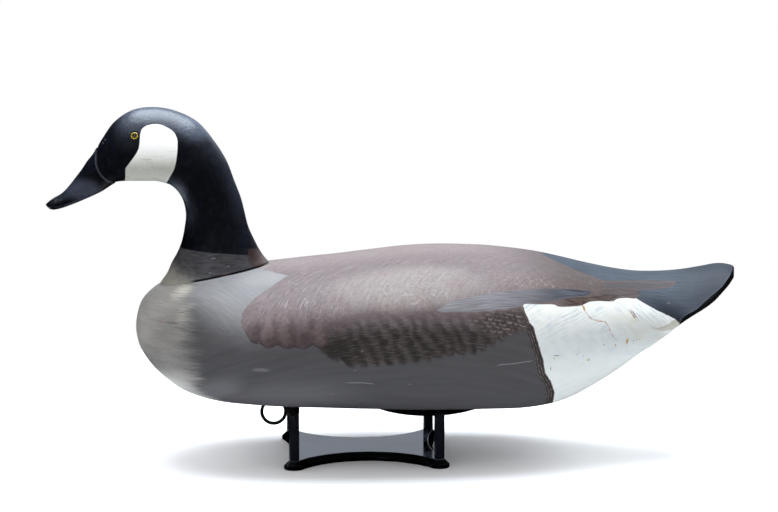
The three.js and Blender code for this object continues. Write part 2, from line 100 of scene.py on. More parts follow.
# The body's stations from the breast to the tail: place along in percent of its length, half width and flat
# in percent of half its width, crown, side, keel and rim in percent of its height, arch and bilge.
BODY_STATIONS = np.array([
    (0, 0, 0, 47.4, 47.4, 47.4, 0, 0, 2),
    (0.7, 23.7, 0, 62, 47.4, 33.5, 0, 0, 2),
    (2.4, 40.4, 1.8, 71.1, 46.6, 22.8, 0, 0, 2),
    (5, 55.3, 5.3, 77.8, 45.9, 13.1, 0, 0, 2.1),
    (8.6, 69.3, 16, 82.3, 45.5, 5, 0, 0, 2.1),
    (14.1, 82.5, 32, 85.7, 45.9, 0.5, 0, 0, 2),
    (22.4, 93.9, 51, 89.5, 45.9, 0, 0, 0, 2),
    (33.5, 99.6, 63.2, 94, 45.9, 0, 0, 0, 2.1),
    (46.4, 99.1, 73.7, 99.8, 45.9, 0, 0, 0, 2.2),
    (56, 94.3, 74.6, 99.8, 45.9, 0, 0, 0, 2.2),
    (62.1, 88.6, 72, 97.7, 45.9, 0, 0, 0, 2.2),
    (66.4, 82.5, 61, 95.3, 45.9, 0, 0, 0, 2.1),
    (70.5, 75.9, 43, 91.9, 45.9, 1.1, 0, 0.05, 2),
    (74.5, 68.9, 25, 88, 46.6, 5.6, 0, 0.12, 2),
    (78.9, 61, 11, 84.2, 48.1, 13.9, 0.2, 0.3, 2),
    (83.4, 53.5, 1.8, 81.7, 50.8, 25.6, 1.1, 0.55, 2),
    (87.6, 47.8, 0, 81.5, 54.3, 38.3, 2.3, 0.8, 2),
    (91.1, 43.9, 0, 82.7, 58.6, 52.6, 2.7, 1, 2),
    (94.5, 38.2, 0, 84.8, 66.2, 63.2, 3.2, 1, 2),
    (97, 30.3, 0, 86.5, 75.6, 71.1, 4.7, 1, 2),
    (98.8, 18.9, 0, 86.2, 82, 76.1, 5.9, 1, 2),
    (100, 0, 0, 83.8, 83.8, 78.2, 5.6, 1, 2),
])
ALONG, HALF, FLAT, CROWN, SIDE, KEEL, RIM, ARCH, BILGE = range(9)

# The head and neck's stations above the seat, in percent of the head's height: throat along and up,
# nape along and up, half width and pinch.
NECK_STATIONS = np.array([
    (-29.2, 0.1, 31.8, 7, 23.2, 0),
    (-26.2, 6.8, 28.9, 10.5, 21.1, 0),
    (-22.8, 12.8, 25.9, 15.5, 19.5, 0),
    (-20.1, 19.5, 22.9, 21.5, 18.3, 0),
    (-18.3, 27.6, 20, 28.3, 17.3, 0),
    (-17.4, 35.6, 17.9, 37, 16.8, 0),
    (-18.8, 43.4, 15.5, 46.4, 16.8, 0),
    (-21.8, 49.2, 11.8, 56.4, 17.2, 0.02),
    (-26, 53.2, 7.4, 67.9, 17.9, 0.05),
    (-30.3, 54.8, 0.5, 79.1, 18.8, 0.1),
    (-34.9, 55.8, -9.2, 90.8, 19.6, 0.14),
    (-39.6, 55.8, -21.5, 97.4, 20.1, 0.17),
    (-44.3, 55.8, -34.9, 100.1, 20.3, 0.18),
    (-49, 55.8, -47.8, 98.5, 19.8, 0.17),
    (-53.7, 55.8, -58.9, 91.6, 18.3, 0.14),
    (-57.7, 55.4, -66.1, 81.9, 15.7, 0.1),
    (-60.4, 54.1, -71.5, 73, 13.4, 0.08),
    (-66.4, 50, -75.7, 67.9, 11.9, 0.1),
    (-73.2, 46.7, -79.9, 61.8, 11, 0.12),
    (-83.2, 42.5, -89.3, 50.4, 10.3, 0.1),
    (-91.9, 39.5, -96.6, 45.7, 9.1, 0.05),
    (-97.3, 39, -99.7, 43.4, 6, 0),
    (-100.7, 41.7, -100.7, 41.7, 0, 0),
])
THROAT_ALONG, THROAT_UP, NAPE_ALONG, NAPE_UP, NECK_HALF, PINCH = range(6)
SPREAD_STATIONS = 4

# Fineness of the shapes
BODY_ROWS_PER_STATION = 22
BACK_COLUMNS = 52
BILGE_COLUMNS = 38
FLAT_COLUMNS = 8
HEAD_ROWS_PER_STATION = 16
HEAD_COLUMNS = 160
ROUND_SIDES = 96
POST_SIDES = 64
EYE_SIDES = 48
EYE_RINGS = 12
WEIGHT_RINGS = 24
RING_WIRE_SIDES = 24
STAPLE_WIRE_SIDES = 20
STAPLE_LEG_STEPS = 8
STAPLE_BEND_STEPS = 20
CORNER_STEPS = 24
HOLLOW_STEPS = 48
PIN_RADIUS = 0.01

# Paint on the body. Every outline is given as (along, girth): x, and the way round the body from the middle
# of the back, in millimetres. The round ones run smoothly through their points, and a point given twice
# makes a corner. The tail's front edge is the rump's rear edge too.
TAIL_LINE = [(212, 54), (226, 60), (237, 64), (247, 68), (251, 72)]
TAIL_FRONT = [*TAIL_LINE, (262, 92), (268, 112), (270, 140), (272, 200)]
ROUND_SHAPES = {
    "mantle": [
        (-122, -12), (-122, 26), (-118, 26), (-116, 31), (-113, 35), (-110, 39), (-107, 43), (-104, 47),
        (-96, 53), (-96, 54), (-111, 71), (-129, 88), (-136, 99), (-136, 111), (-129, 123), (-119, 132),
        (-103, 136), (-89, 140), (-72, 141), (-67, 147), (-56, 154), (-43, 161), (-14, 162), (15, 162),
        (43, 156), (66, 151), (88, 136), (111, 121), (106, 103.5), (119, 98.5), (134, 93.5), (139, 93.5),
        (150, 89), (160, 83.5), (167, 77), (177, 71.5), (189, 66.5), (195, 61), (203, 57), (212, 54),
        (218, 45), (218, 45), (214, 43), (229, 38), (241, 35), (249, 31), (252, 25), (252, 25), (222, 27),
        (197, 37), (187, 41), (177, 41), (159, 36), (140, 22), (134, 0), (134, -12),
    ],
    "flank": [
        (-80, 149), (-70, 139), (-56, 129), (-40, 120), (0, 122), (34, 123), (56, 120), (77, 114),
        (92, 107), (106, 101), (124, 110), (124, 175), (-80, 175),
    ],
    "primaries": [
        (30, 119), (44, 109), (61, 103), (79, 96), (105, 88), (130, 78), (155, 69), (171, 64), (171, 64),
        (164, 71), (154, 78), (135, 89), (117, 98), (101, 106), (84, 112), (65, 116), (48, 118),
    ],
    "blue_feather": [
        (111, 90), (125, 83), (148, 72), (164, 66), (170, 64), (170, 65.5), (168, 68), (162, 73), (147, 80),
        (136, 86), (122, 92), (113, 95),
    ],
    "brown_feather": [
        (134, 92), (147, 82), (165, 73), (177, 66), (189, 59), (195, 58), (190, 63), (187, 67), (176, 73),
        (164, 80), (151, 87), (141, 91),
    ],
    "low_feather": [
        (168, 66), (184, 56), (202, 47), (218, 44), (218, 44), (215, 48), (207, 52), (195, 58), (183, 62),
        (171, 67),
    ],
    "high_feather": [
        (165, 57), (173, 51), (197, 38), (222, 28), (252, 26), (252, 26), (249, 31), (241, 35), (229, 38),
        (214, 43), (196, 49), (178, 56),
    ],
}
STRAIGHT_SHAPES = {
    "tail": [(126, -12), (126, 80), (170, 80), (187, 68), *TAIL_FRONT, (330, 200), (330, -12)],
    "rump": [
        (106, 101), (107, 106), (110, 116), (115, 120), (117, 127), (121, 138), (124, 146), (126, 157),
        (132, 164), (136, 174), (136, 184), (138, 215), (140, 260),
        (140, 330), (272, 330), *reversed(TAIL_FRONT), (200, 50), (160, 60), (106, 90),
    ],
    "tail_rim": [
        (318, -12), (309, -12), (309, 0), (306, 15), (301, 28), (297, 34), (293, 40), (287, 44), (281, 48),
        (273, 54), (267, 59), (259, 63), (253, 67), (251, 74), (262, 92), (330, 200), (330, -12),
    ],
    "facet": [
        (222, 79.5), (232, 77.5), (240, 73), (247, 67.5), (251, 71), (254, 79), (246, 80), (236, 81),
    ],
}
# The line along which the white rump is painted darker and bluer: painted shade
RUMP_PAINTED_SHADE = [(130, 138), (161, 122), (195, 102), (228, 88)]
PALE_EDGE = [
    (-197, 20), (-193, 51), (-188, 66), (-172, 90), (-155, 110), (-132, 124), (-95, 128), (0, 110), (200, 60),
]

# Soft spots of paint on the body, each as its strength, its place and half its size
BODY_SOFT_SPOTS = {
    # The pale middle of the back, partly paler paint and partly a painted highlight
    "mantle_pale_and_highlight": [(0.95, (5, 88), (102, 40))],
    "lobe_front": [(0.7, (-126, 117), (15, 10))],
    "flecks": [(1, (112, 76), (48, 15))],
    "curls": [(1, (10, 97), (46, 26)), (0.3, (-60, 112), (30, 16))],
    "wavy": [(1, (88, 119), (46, 22))],
    "rump_dirt": [(1, (222, 84), (46, 20))],
    # Painted light from the floor on the belly's front
    "belly_front_floor_light": [(0.32, (-120, 192), (110, 34)), (0.5, (-166, 170), (46, 26))],
    "cream": [(0.75, (-188, 47), (15, 14)), (0.35, (-181, 76), (16, 14))],
    "shoulder_top": [(0.8, (-118, 50), (34, 26))],
}

# Rows of round lobes along the mantle's lower edge
LOBE_SCALLOPS = {"spacing": 15, "depth": 3, "start": -136, "end": -66}
FEATHER_TIPS = {"spacing": 11, "depth": 5, "start": -66, "end": 100}
FEATHER_SLANT = 0.5

# The folded wing's single feathers: where along the body each begins to show and shows fully, the two
# colours of its strokes and the colour of its edge
FEATHERS = {
    "brown_feather": (138, 152, (54, 41, 38), (94, 79, 73), (44, 32, 30)),
    "blue_feather": (118, 156, (38, 42, 55), (82, 85, 97), (36, 38, 50)),
    "low_feather": (172, 188, (64, 56, 57), (90, 81, 82), (54, 46, 48)),
    "high_feather": (168, 196, (60, 57, 61), (80, 75, 78), (96, 70, 62)),
}

# Thin marks on the left side, as lines of (along, girth)
MARKS = {
    "crack": [
        [(160, 82), (162, 85), (163, 88), (167, 92), (171, 92), (176, 91), (181, 89), (184, 92), (186, 97),
         (191, 101)],
    ],
    "chip": [
        [(205.5, 70.5), (208.5, 74.5)],
        [(207.5, 69), (210.5, 73.5)],
        [(159.5, 80), (160.5, 84)],
    ],
    "scratch": [
        [(-45, 177), (-34, 178), (-25, 180)],
        [(85, 160), (96, 157), (112, 151)],
        [(188, 66), (197, 66), (202, 70), (207, 72)],
        [(224, 78), (232, 79), (236, 76)],
    ],
}
MARK_REACH = 3.5

# Spots on the left side, seen from the side: colour, strength and places as (x, z, half length, half height)
SPOTS = {
    "rust": ((150, 112, 24), 0.9, [
        (202, 111, 1.2, 3), (191, 108.5, 0.9, 0.9), (180, 110, 0.7, 0.7), (162, 142.5, 0.8, 2),
    ]),
    "blush": ((122, 92, 86), 0.4, [(-135, 67.5, 2, 0.7), (-59, 73.5, 2.5, 0.7), (-207, 131, 3, 1.5)]),
    "stain": ((70, 62, 56), 0.4, [(105, 108, 5, 1.8), (-198, 131.5, 7, 0.9), (-190, 128, 6, 0.7)]),
    "olive": ((150, 146, 104), 0.8, [(166, 97, 1.7, 1.3), (134, 101, 1.2, 0.8), (214, 112, 1, 0.8)]),
    "dark": ((92, 88, 84), 0.8, [
        (155, 103, 0.6, 0.5), (157, 105, 0.5, 0.5), (161, 101, 0.6, 0.6), (136, 103.4, 3.4, 0.5),
        (131, 92, 0.5, 1.8), (7, 83, 1.2, 0.8), (208, 111, 0.6, 0.5), (211, 112, 0.5, 0.5),
    ]),
    "pale": ((118, 117, 120), 0.32, [
        (-120, 95.5, 8, 1.8), (-34, 113, 1.2, 1), (-145, 127, 0.8, 0.8), (242, 142, 2, 0.9),
        (-122, 120, 1, 0.8), (60, 130, 0.8, 0.8), (-40, 96, 1.5, 0.5),
    ]),
}

# Chips and scratches on the left of the head, as (x, z, half length)
HEAD_CHIPS = [
    (-255.6, 286.7, 1), (-257.4, 284.1, 0.9), (-161, 183, 2.6), (-164, 170.5, 1.6), (-148, 176, 1.4),
]

# Paint on the head and neck, seen from the side, as (x, z) in millimetres
HEAD_SHAPES = {
    "cheek": [
        (-211.7, 301.2), (-218.1, 300), (-222.4, 297.1), (-223.8, 292.9), (-224.3, 287.8), (-225, 281.8),
        (-227.2, 276.5), (-232.1, 269.5), (-236.7, 263.5), (-237.4, 261.2), (-237.9, 255.4),
        (-238.8, 250.7), (-239, 246), (-239, 243), (-205, 243), (-202, 248.5), (-197.6, 256.5),
        (-194.3, 263), (-192.4, 271.9), (-191.5, 281.4), (-191.7, 287.6), (-193.7, 292.6), (-197.2, 296.2),
        (-202.4, 299), (-205.9, 300.5),
    ],
    "neck_base": [
        (-215, 191.5), (-197, 190.8), (-189.3, 190.3), (-181.3, 189.3), (-165, 187.8), (-145.3, 186.2),
        (-121.8, 183.5), (-105, 181), (-105, 181), (-100, 120), (-240, 120), (-240, 120),
    ],
    "nape_patch": [
        (-131, 189), (-130.5, 184), (-129.8, 180.3), (-127.2, 175.1), (-124, 172), (-118, 168), (-90, 160),
        (-90, 190), (-90, 190), (-131, 189),
    ],
}
BILL_BASE = [
    (-264, 290), (-263.8, 279), (-263.6, 276.5), (-263.4, 270.9), (-262.7, 265), (-260.6, 260.3),
    (-257.8, 256.1), (-255.3, 253.4), (-252.6, 251.2), (-250, 249.9), (-247, 247), (-244, 240),
]
MANDIBLE = [
    (-315, 229.4), (-309.7, 229.5), (-302.5, 228.9), (-294.1, 230.1), (-283.9, 233.5), (-274.6, 237.5),
    (-265.3, 241.8), (-258.2, 246.2), (-254.3, 248.6), (-247, 250.5),
]

# Camera, at the photograph's angle
CAMERA_PLACE = (-0.1240, -1.9598, 0.4350)
CAMERA_AZIMUTH = -3.5
CAMERA_PITCH = 7.4
CAMERA_LENS = 101.8
CAMERA_SENSOR = 36
FLOOR_RADIUS = 0.62
AIM = (0, 0, 0.15)

# Panels of light: place, size, radiance and tint
LIGHTS = {
    "key_panel": ((0.02, 0.36, 1.9), (1.9, 1.4), 8, (0.84, 0.93, 1)),
    "back_panel": ((0, 3.2, 1.2), (2.4, 2.2), 0.7, (0.8, 0.88, 1)),
    "right_panel": ((1.5, 2.3, 1.5), (1.2, 1.0), 1.2, (0.8, 0.9, 1)),
    "low_left_panel": ((-2.0, 1.7, -1.4), (1.4, 1.4), 0.9, (0.8, 0.88, 1)),
    "high_left_panel": ((-1.14, -2.4, 1.75), (0.9, 0.9), 0.8, (0.72, 0.84, 1)),
}


def curve_between(before, start, end, beyond, share):
    """A smooth curve from start to end, at a share of the way, that fits its two neighbours."""
    bend = 2 * before - 5 * start + 4 * end - beyond
    twist = 3 * (start - end) + beyond - before
    return start + share * (end - before + share * (bend + share * twist)) / 2


def smooth_value(values, place, before, after):
    """Smooth values at places in a list with one value a station."""
    padded = np.concatenate([[before], values, [after]])
    start = np.minimum(np.floor(place).astype(int), len(values) - 2)
    return curve_between(*(padded[start + step] for step in range(4)), place - start)


def body_value(key, mirrored_key, sign, place):
    """A number of the body's stations. Beyond both ends the body is mirrored."""
    mirrored = sign * BODY_STATIONS[:, mirrored_key]
    return smooth_value(BODY_STATIONS[:, key], place, mirrored[1], mirrored[-2]) / 100


def body_cut(place):
    """The body's cuts at some places: where they are and the heights and widths that shape them."""
    def width(key):
        return np.maximum(body_value(key, key, -1, place), 0) * BODY_WIDTH / 2

    def height(key, mirrored_key):
        return body_value(key, mirrored_key, 1, place) * BODY_HEIGHT

    return {
        "x": BREAST_X + body_value(ALONG, ALONG, 1, place) * BODY_LENGTH,
        "half": width(HALF),
        "flat": width(FLAT),
        "crown": UNDERSIDE + height(CROWN, KEEL),
        "side": UNDERSIDE + height(SIDE, SIDE),
        "keel": UNDERSIDE + np.maximum(height(KEEL, CROWN), 0),
        "rim": np.maximum(height(RIM, RIM), 0),
        "arch": np.clip(body_value(ARCH, ARCH, 1, place) * 100, 0, 1),
        "bilge": body_value(BILGE, BILGE, 1, place) * 100,
    }


def back_powers(cut):
    """The powers of the back's curve, across and down, which change from the body to the tail."""
    return (body + (tail - body) * cut["arch"] for body, tail in zip(BODY_BACK_POWERS, TAIL_BACK_POWERS))


def half_outline(place):
    """One side of each cut from the crown to the keel, as points (x, across, up)."""
    cut = {key: value[:, None] for key, value in body_cut(place).items()}
    across, down = back_powers(cut)
    out = np.sin(np.linspace(0, math.pi / 2, BACK_COLUMNS + 1))[None]
    fall = np.maximum(1 - out ** across, 0) ** (1 / down)
    back_z = cut["side"] + (cut["crown"] - cut["side"]) * fall
    under = np.cos(np.linspace(0, math.pi / 2, BILGE_COLUMNS + 1))[None]
    edge = cut["side"] - cut["rim"]
    fall = np.maximum(1 - under ** cut["bilge"], 0) ** (1 / cut["bilge"])
    bilge_y = cut["flat"] + (cut["half"] - cut["flat"]) * under
    bilge_z = edge - (edge - cut["keel"]) * fall
    inward = (1 - np.arange(1, FLAT_COLUMNS + 1) / FLAT_COLUMNS)[None]
    y = np.concatenate([cut["half"] * out, bilge_y, cut["flat"] * inward], 1)
    z = np.concatenate([back_z, bilge_z, cut["keel"] + 0 * inward], 1)
    return np.stack([cut["x"] + 0 * y, y, z], 2)


PLACES = np.linspace(0, len(BODY_STATIONS) - 1, 4001)
PLACES_X = body_cut(PLACES)["x"]


def seat_height(x):
    return UNDERSIDE + BODY_HEIGHT * SEAT_FRONT_SHARE + SEAT_SLOPE * (x - SEAT_FRONT_X)


def seat_half_width(x):
    """Half the width of the neck's seat at x, where the body's back passes through the seat's plane."""
    cut = body_cut(np.interp(x, PLACES_X, PLACES))
    across, down = back_powers(cut)
    level = np.maximum((seat_height(x) - cut["side"]) / (cut["crown"] - cut["side"]), 0)
    return cut["half"] * np.maximum(1 - level ** down, 0) ** (1 / across)


def seat_ends():
    x = np.arange(SEAT_MIDDLE_X - 80, SEAT_MIDDLE_X + 80, 0.1)
    wide = x[seat_half_width(x) > 0]
    return wide[0], wide[-1]


SEAT_FRONT, SEAT_BACK = seat_ends()
SEAT_CENTRE = (SEAT_FRONT + SEAT_BACK) / 2


def head_stations():
    """The neck's stations with the seat itself as the first one."""
    seat = []
    for x in (SEAT_FRONT, SEAT_BACK):
        seat += [x - SEAT_MIDDLE_X, seat_height(x) + CONTACT_GAP - seat_height(SEAT_MIDDLE_X)]
    seat += [seat_half_width(SEAT_CENTRE), 0]
    return np.vstack([np.array(seat) * 100 / HEAD_HEIGHT, NECK_STATIONS])


HEAD_STATIONS = head_stations()


def head_value(key, mirrored_key, sign, place):
    values = HEAD_STATIONS[:, key]
    after = sign * HEAD_STATIONS[-2, mirrored_key]
    return smooth_value(values, place, 2 * values[0] - values[1], after) / 100


def head_points(place, turn):
    """Points of the head and neck's skin, for arrays of places along it and turns from the throat."""
    base = seat_height(SEAT_MIDDLE_X)
    ahead = np.cos(turn)

    def between(throat_key, nape_key, start):
        throat = start + head_value(throat_key, nape_key, 1, place) * HEAD_HEIGHT
        nape = start + head_value(nape_key, throat_key, 1, place) * HEAD_HEIGHT
        return (throat + nape) / 2 + (throat - nape) / 2 * ahead

    half = np.maximum(head_value(NECK_HALF, NECK_HALF, -1, place), 0) * HEAD_HEIGHT
    pinch = head_value(PINCH, PINCH, 1, place) * 100
    y = -half * np.sin(turn) * (1 + pinch * ahead)
    spread = np.maximum(1 - place / SPREAD_STATIONS, 0) ** 2
    seat_half = seat_half_width(SEAT_CENTRE + (SEAT_FRONT - SEAT_BACK) / 2 * ahead)
    outline = -np.sign(np.sin(turn)) * seat_half / seat_half_width(SEAT_CENTRE) * half
    x = between(THROAT_ALONG, NAPE_ALONG, SEAT_MIDDLE_X)
    return np.stack([x, y + (outline - y) * spread, between(THROAT_UP, NAPE_UP, base)], -1)


# Outlines, distances and falling numbers for the paint

def smooth_outline(points, steps=6):
    """A closed outline rounded through its points."""
    points = np.array(points, float)
    share = (np.arange(steps) / steps)[:, None, None]
    curve = curve_between(*(np.roll(points, shift, 0) for shift in (1, 0, -1, -2)), share)
    return curve.transpose(1, 0, 2).reshape(-1, 2)


def line_distance(points, line):
    """The distance of points to a line of points, with its sign by the side, in millimetres."""
    line = np.array(line, float)
    nearest = np.full(len(points), np.inf)
    side = np.ones(len(points))
    for start, end in zip(line[:-1], line[1:]):
        way = end - start
        length = float(way @ way)
        if length == 0:
            continue
        offset = points - start
        share = np.clip(offset @ way / length, 0, 1)
        gap = offset - share[:, None] * way
        distance = np.hypot(gap[:, 0], gap[:, 1])
        closer = distance < nearest
        nearest[closer] = distance[closer]
        cross = way[0] * offset[:, 1] - way[1] * offset[:, 0]
        side[closer] = np.where(cross[closer] < 0, -1, 1)
    return nearest * side


def inside_distance(points, outline):
    """The distance of points to a closed outline, positive inside it, in millimetres."""
    closed = np.vstack([outline, outline[:1]])
    inside = np.zeros(len(points), bool)
    for start, end in zip(closed[:-1], closed[1:]):
        if start[1] == end[1]:
            continue
        crosses = (start[1] > points[:, 1]) != (end[1] > points[:, 1])
        at = start[0] + (points[:, 1] - start[1]) * (end[0] - start[0]) / (end[1] - start[1])
        inside ^= crosses & (points[:, 0] < at)
    return np.abs(line_distance(points, closed)) * np.where(inside, 1, -1)


def round_distances(points, shapes):
    """For each named shape, the distance of points to its rounded outline, positive inside it."""
    return {name: inside_distance(points, smooth_outline(outline)) for name, outline in shapes.items()}


def ramp(value, start, end):
    """0 at start and 1 at end, smooth between them. It falls where the end lies below the start."""
    share = np.clip((value - start) / (end - start), 0, 1)
    return share * share * (3 - 2 * share)


def bell(value, width):
    """1 where value is 0, falling to both sides."""
    return np.exp(-(value / width) ** 2)


def fading(value, length):
    """1 where value is 0 or less, falling over about a length."""
    return np.exp(-np.maximum(value, 0) / length)


def blob(flat, centre, radii):
    """1 in the middle of an oval, falling smoothly to 0 at its edge."""
    return ramp(np.hypot(*((flat - centre) / radii).T), 1, 0.25)


def soft_spots(flat, shapes):
    """For each name, the strongest of its soft spots at each point."""
    return {
        name: np.max([strength * blob(flat, centre, radii) for strength, centre, radii in spots], 0)
        for name, spots in shapes.items()
    }


def scallops(along, spacing, depth, start, end):
    """A row of round lobes along an edge: how far each reaches, fading at both ends of the row."""
    wave = np.abs(np.sin(math.pi * (along - start) / spacing))
    shown = ramp(along, start, start + spacing / 2) * ramp(along, end, end - spacing / 2)
    return depth * (wave - 0.6) * shown


# Materials

def linear(tone):
    """A paint colour given as on a screen, 0 to 255, in Blender's linear light."""
    shares = [channel / 255 for channel in tone]
    return tuple(s / 12.92 if s <= 0.04045 else ((s + 0.055) / 1.055) ** 2.4 for s in shares) + (1,)


class Surface:
    """A material and short ways to build its nodes. Places and sizes are in millimetres."""

    def __init__(self, name, settings):
        self.material = bpy.data.materials.new(name)
        self.material.use_nodes = True
        self.tree = self.material.node_tree
        self.shader = self.tree.nodes["Principled BSDF"]
        for socket, value in settings.items():
            self.shader.inputs[socket].default_value = value
        coordinates = self.tree.nodes.new("ShaderNodeTexCoord")
        self.place = self.stretched(coordinates.outputs["Object"], (MM, MM, MM))

    def put(self, value, socket):
        if isinstance(value, bpy.types.NodeSocket):
            self.tree.links.new(value, socket)
        else:
            socket.default_value = linear(value) if socket.type == "RGBA" else value

    def node(self, kind, inputs, output=0, **settings):
        """Adds a node with its settings and inputs and gives one of its outputs."""
        node = self.tree.nodes.new("ShaderNode" + kind)
        for name, value in settings.items():
            setattr(node, name, value)
        for socket, value in inputs.items():
            self.put(value, node.inputs[socket])
        return node.outputs[output]

    def attribute(self, name, output="Vector"):
        return self.node("Attribute", {}, output, attribute_name=name)

    def __getitem__(self, name):
        """A number that the mesh's points carry."""
        return self.attribute(name, "Fac")

    def stretched(self, vector, sizes, turn=0):
        """A place to read noise at, so that its features get these sizes, turned by an angle."""
        inputs = {"Vector": vector, "Scale": sizes, "Rotation": (0, 0, math.radians(turn))}
        return self.node("Mapping", inputs, vector_type="TEXTURE")

    def part(self, vector, axis):
        """One number of a vector."""
        return self.node("SeparateXYZ", {0: vector}, axis)

    def math(self, operation, *values):
        return self.node("Math", dict(enumerate(values)), operation=operation)

    def times(self, *values):
        product = values[0]
        for value in values[1:]:
            product = self.math("MULTIPLY", product, value)
        return product

    def add(self, *values):
        """The sum of some numbers, where a tuple stands for the product of what it holds."""
        total, *rest = (self.times(*value) if isinstance(value, tuple) else value for value in values)
        for value in rest:
            total = self.math("ADD", total, value)
        return total

    def rest(self, value):
        return self.math("SUBTRACT", 1, value)

    def noise(self, vector, size=1, detail=2, turn=0, twist=0):
        """Noise of 0 to 1 with features of about this size, or of these sizes along, across and up."""
        if isinstance(size, tuple):
            vector, size = self.stretched(vector, (*size, 1)[:3], turn), 1
        inputs = {"Vector": vector, "Scale": 1 / size, "Detail": detail, "Distortion": twist}
        return self.node("TexNoise", inputs)

    def swing(self, *settings, **more):
        """Noise about 0, from about -1 to 1."""
        return self.math("MULTIPLY_ADD", self.noise(*settings, **more), 2, -1)

    def wave(self, value, length):
        """A wave from -1 to 1 and back over each length."""
        return self.math("SINE", self.times(value, 2 * math.pi / length))

    def ramp(self, value, start, end):
        """0 at start and 1 at end, smooth between them. It falls where the end lies below the start."""
        return self.node("MapRange", {0: value, 1: start, 2: end}, interpolation_type="SMOOTHSTEP")

    def line(self, value, width, blur):
        """1 where value is within width of 0, falling to 0 over blur."""
        return self.ramp(self.math("ABSOLUTE", value), width + blur, width)

    def blend(self, share, low, high):
        """A number between two others."""
        return self.add((low, self.rest(share)), (high, share))

    def near(self, flat, centre, sizes, ragged):
        """1 on a spot around a point of a flat drawing, falling to 0 at its rough edge."""
        points = {0: self.stretched(flat, (*sizes, 1)), 1: (centre[0] / sizes[0], centre[1] / sizes[1], 0)}
        away = self.node("VectorMath", points, "Value", operation="DISTANCE")
        return self.ramp(self.add(away, (ragged, 0.2)), 1.15, 0.6)

    def mix(self, share, under, over):
        """One colour over another."""
        return self.node("Mix", {0: share, 6: under, 7: over}, 2, data_type="RGBA")

    def coats(self, base, *coats):
        """Coats of paint over a colour. Each is a colour and the numbers whose product is its share."""
        for tone, *shares in coats:
            base = self.mix(self.times(*shares), base, tone)
        return base

    def finish(self, base, roughness, height=0, depth=0):
        """The finished material, with its surface raised by height times depth."""
        self.put(base, self.shader.inputs["Base Color"])
        self.put(roughness, self.shader.inputs["Roughness"])
        if depth > 0:
            normal = self.node("Bump", {"Distance": depth * MM, "Height": height})
            self.put(normal, self.shader.inputs["Normal"])
        return self.material


def body_material():
    """The paint of the body, from the sides and breast outwards to the marks of use."""
    s = Surface("body_paint", {"Specular IOR Level": 0.2})
    flat = s.attribute("unrolled")
    level = s.swing(s.place, (30, 30, 1.8), 4)
    ragged = s.swing(flat, 4, 3)
    base = paint_sides(s, flat, level)
    tail = s.ramp(s.add(s["tail"], (s.swing(flat, 1.5), 0.4)), -0.35, 0.35)
    base = s.mix(tail, base, paint_tail(s, flat))
    base = paint_fringe(s, flat, base, ragged)
    rump_edge = s.add(s["rump"], (ragged, 0.7), (s.swing(flat, 1.2), 0.4))
    base = s.mix(s.ramp(rump_edge, -0.35, 0.35), base, paint_rump(s, flat))
    torn = s.times(s.swing(flat, (4, 1.1), 3, turn=25), s["torn"], 5)
    mantle_edge = s.add(s["mantle_edge"], (ragged, s.add(0.5, (rear_share(s, flat), -0.35))), torn)
    crisp = s.ramp(mantle_edge, -0.35, 0.35)
    blurred = s.ramp(s.add(mantle_edge, (ragged, 1.2)), -2.5, 2.5)
    base = s.mix(s.blend(s["mantle_soft"], crisp, blurred), base, paint_mantle(s, flat))
    # A thin painted highlight just inside the tail's black rim
    rim_highlight = s.line(s.add(s["tail_rim"], 0.9), 0.3, 0.6)
    rim = s.ramp(s["tail_rim"], -0.5, 0.2)
    base = s.coats(base, ((98, 104, 116), rim_highlight, s.noise(flat, 12), 0.3), ((7, 8, 10), rim))
    base = paint_marks(s, base, flat, ragged)
    comb = s.noise(s.attribute("comb"), (1.2, 22), 3)
    relief = s.add((level, 0.35), (comb, s.add(0.2, s["combed"])), (ragged, 0.25))
    return s.finish(base, s.add(0.54, (rim, 0.4), (s.swing(flat, 9, 3), 0.06)), relief, 0.2)


def rear_share(s, flat):
    """How far back on the mantle a point lies."""
    return s.ramp(s.part(flat, "X"), 85, 165)


def paint_sides(s, flat, level):
    """Grey sides that pale towards the neck, and the olive breast with its level strokes."""
    dark = s.mix(s.noise(flat, (60, 5), 3), (59, 58, 60), (73, 72, 74))
    # Painted light from the floor, paler on the belly's front
    dark = s.mix(s["belly_front_floor_light"], dark, (112, 111, 115))
    slanting = s.noise(flat, (24, 1.2), 3, turn=52)
    pale = s.mix(s.ramp(slanting, 0.35, 0.62), (120, 119, 121), (130, 129, 131))
    pale = s.mix(s["shoulder_top"], pale, (142, 140, 141))
    broad = s.swing(s.place, (36, 36, 8), 3)
    fine = s.swing(s.place, (13, 13, 0.8), 3)
    shoulder = s.add(s["shoulder_light"], (level, 0.06), (broad, 0.08))
    grey = s.mix(s.ramp(shoulder, 0, 1), dark, pale)
    tone = s.add(0.5, (level, 0.14), (fine, 0.22), (broad, 0.3), (s.swing(flat, 1.6, 3), 0.3))
    olive = s.coats(
        (96, 93, 90),
        ((130, 127, 124), s.ramp(tone, 0, 1)),
        ((148, 145, 141), s["breast_top"], s.ramp(tone, -0.3, 1)),
        # A painted highlight along the breast's lower front rim
        ((190, 189, 186), s["breast_rim_highlight"]),
        ((86, 84, 84), s["breast_fade"]),
        ((186, 181, 169), s["cream"], s.ramp(s.add((level, 0.8), fine, 0.35), -0.4, 0.6)),
    )
    edge = s.add(s["breast_edge"], (level, 6), (fine, 7), (broad, 9))
    return s.mix(s.ramp(edge, -11, 9), grey, olive)


def paint_tail(s, flat):
    """The blue-black tail, with strokes along it and painted shade low by the rump."""
    strokes = s.add(s.noise(flat, (22, 0.9), 3), (s.swing(flat, 22, 2), 0.15))
    return s.coats(
        (52, 59, 69),
        ((73, 81, 93), s.ramp(strokes, 0.25, 0.75)),
        ((44, 50, 60), s.ramp(s.part(flat, "X"), 232, 290), 0.85),
        # Painted shade on the tail near the rump line
        ((30, 34, 44), s["tail_painted_shade"]),
    )


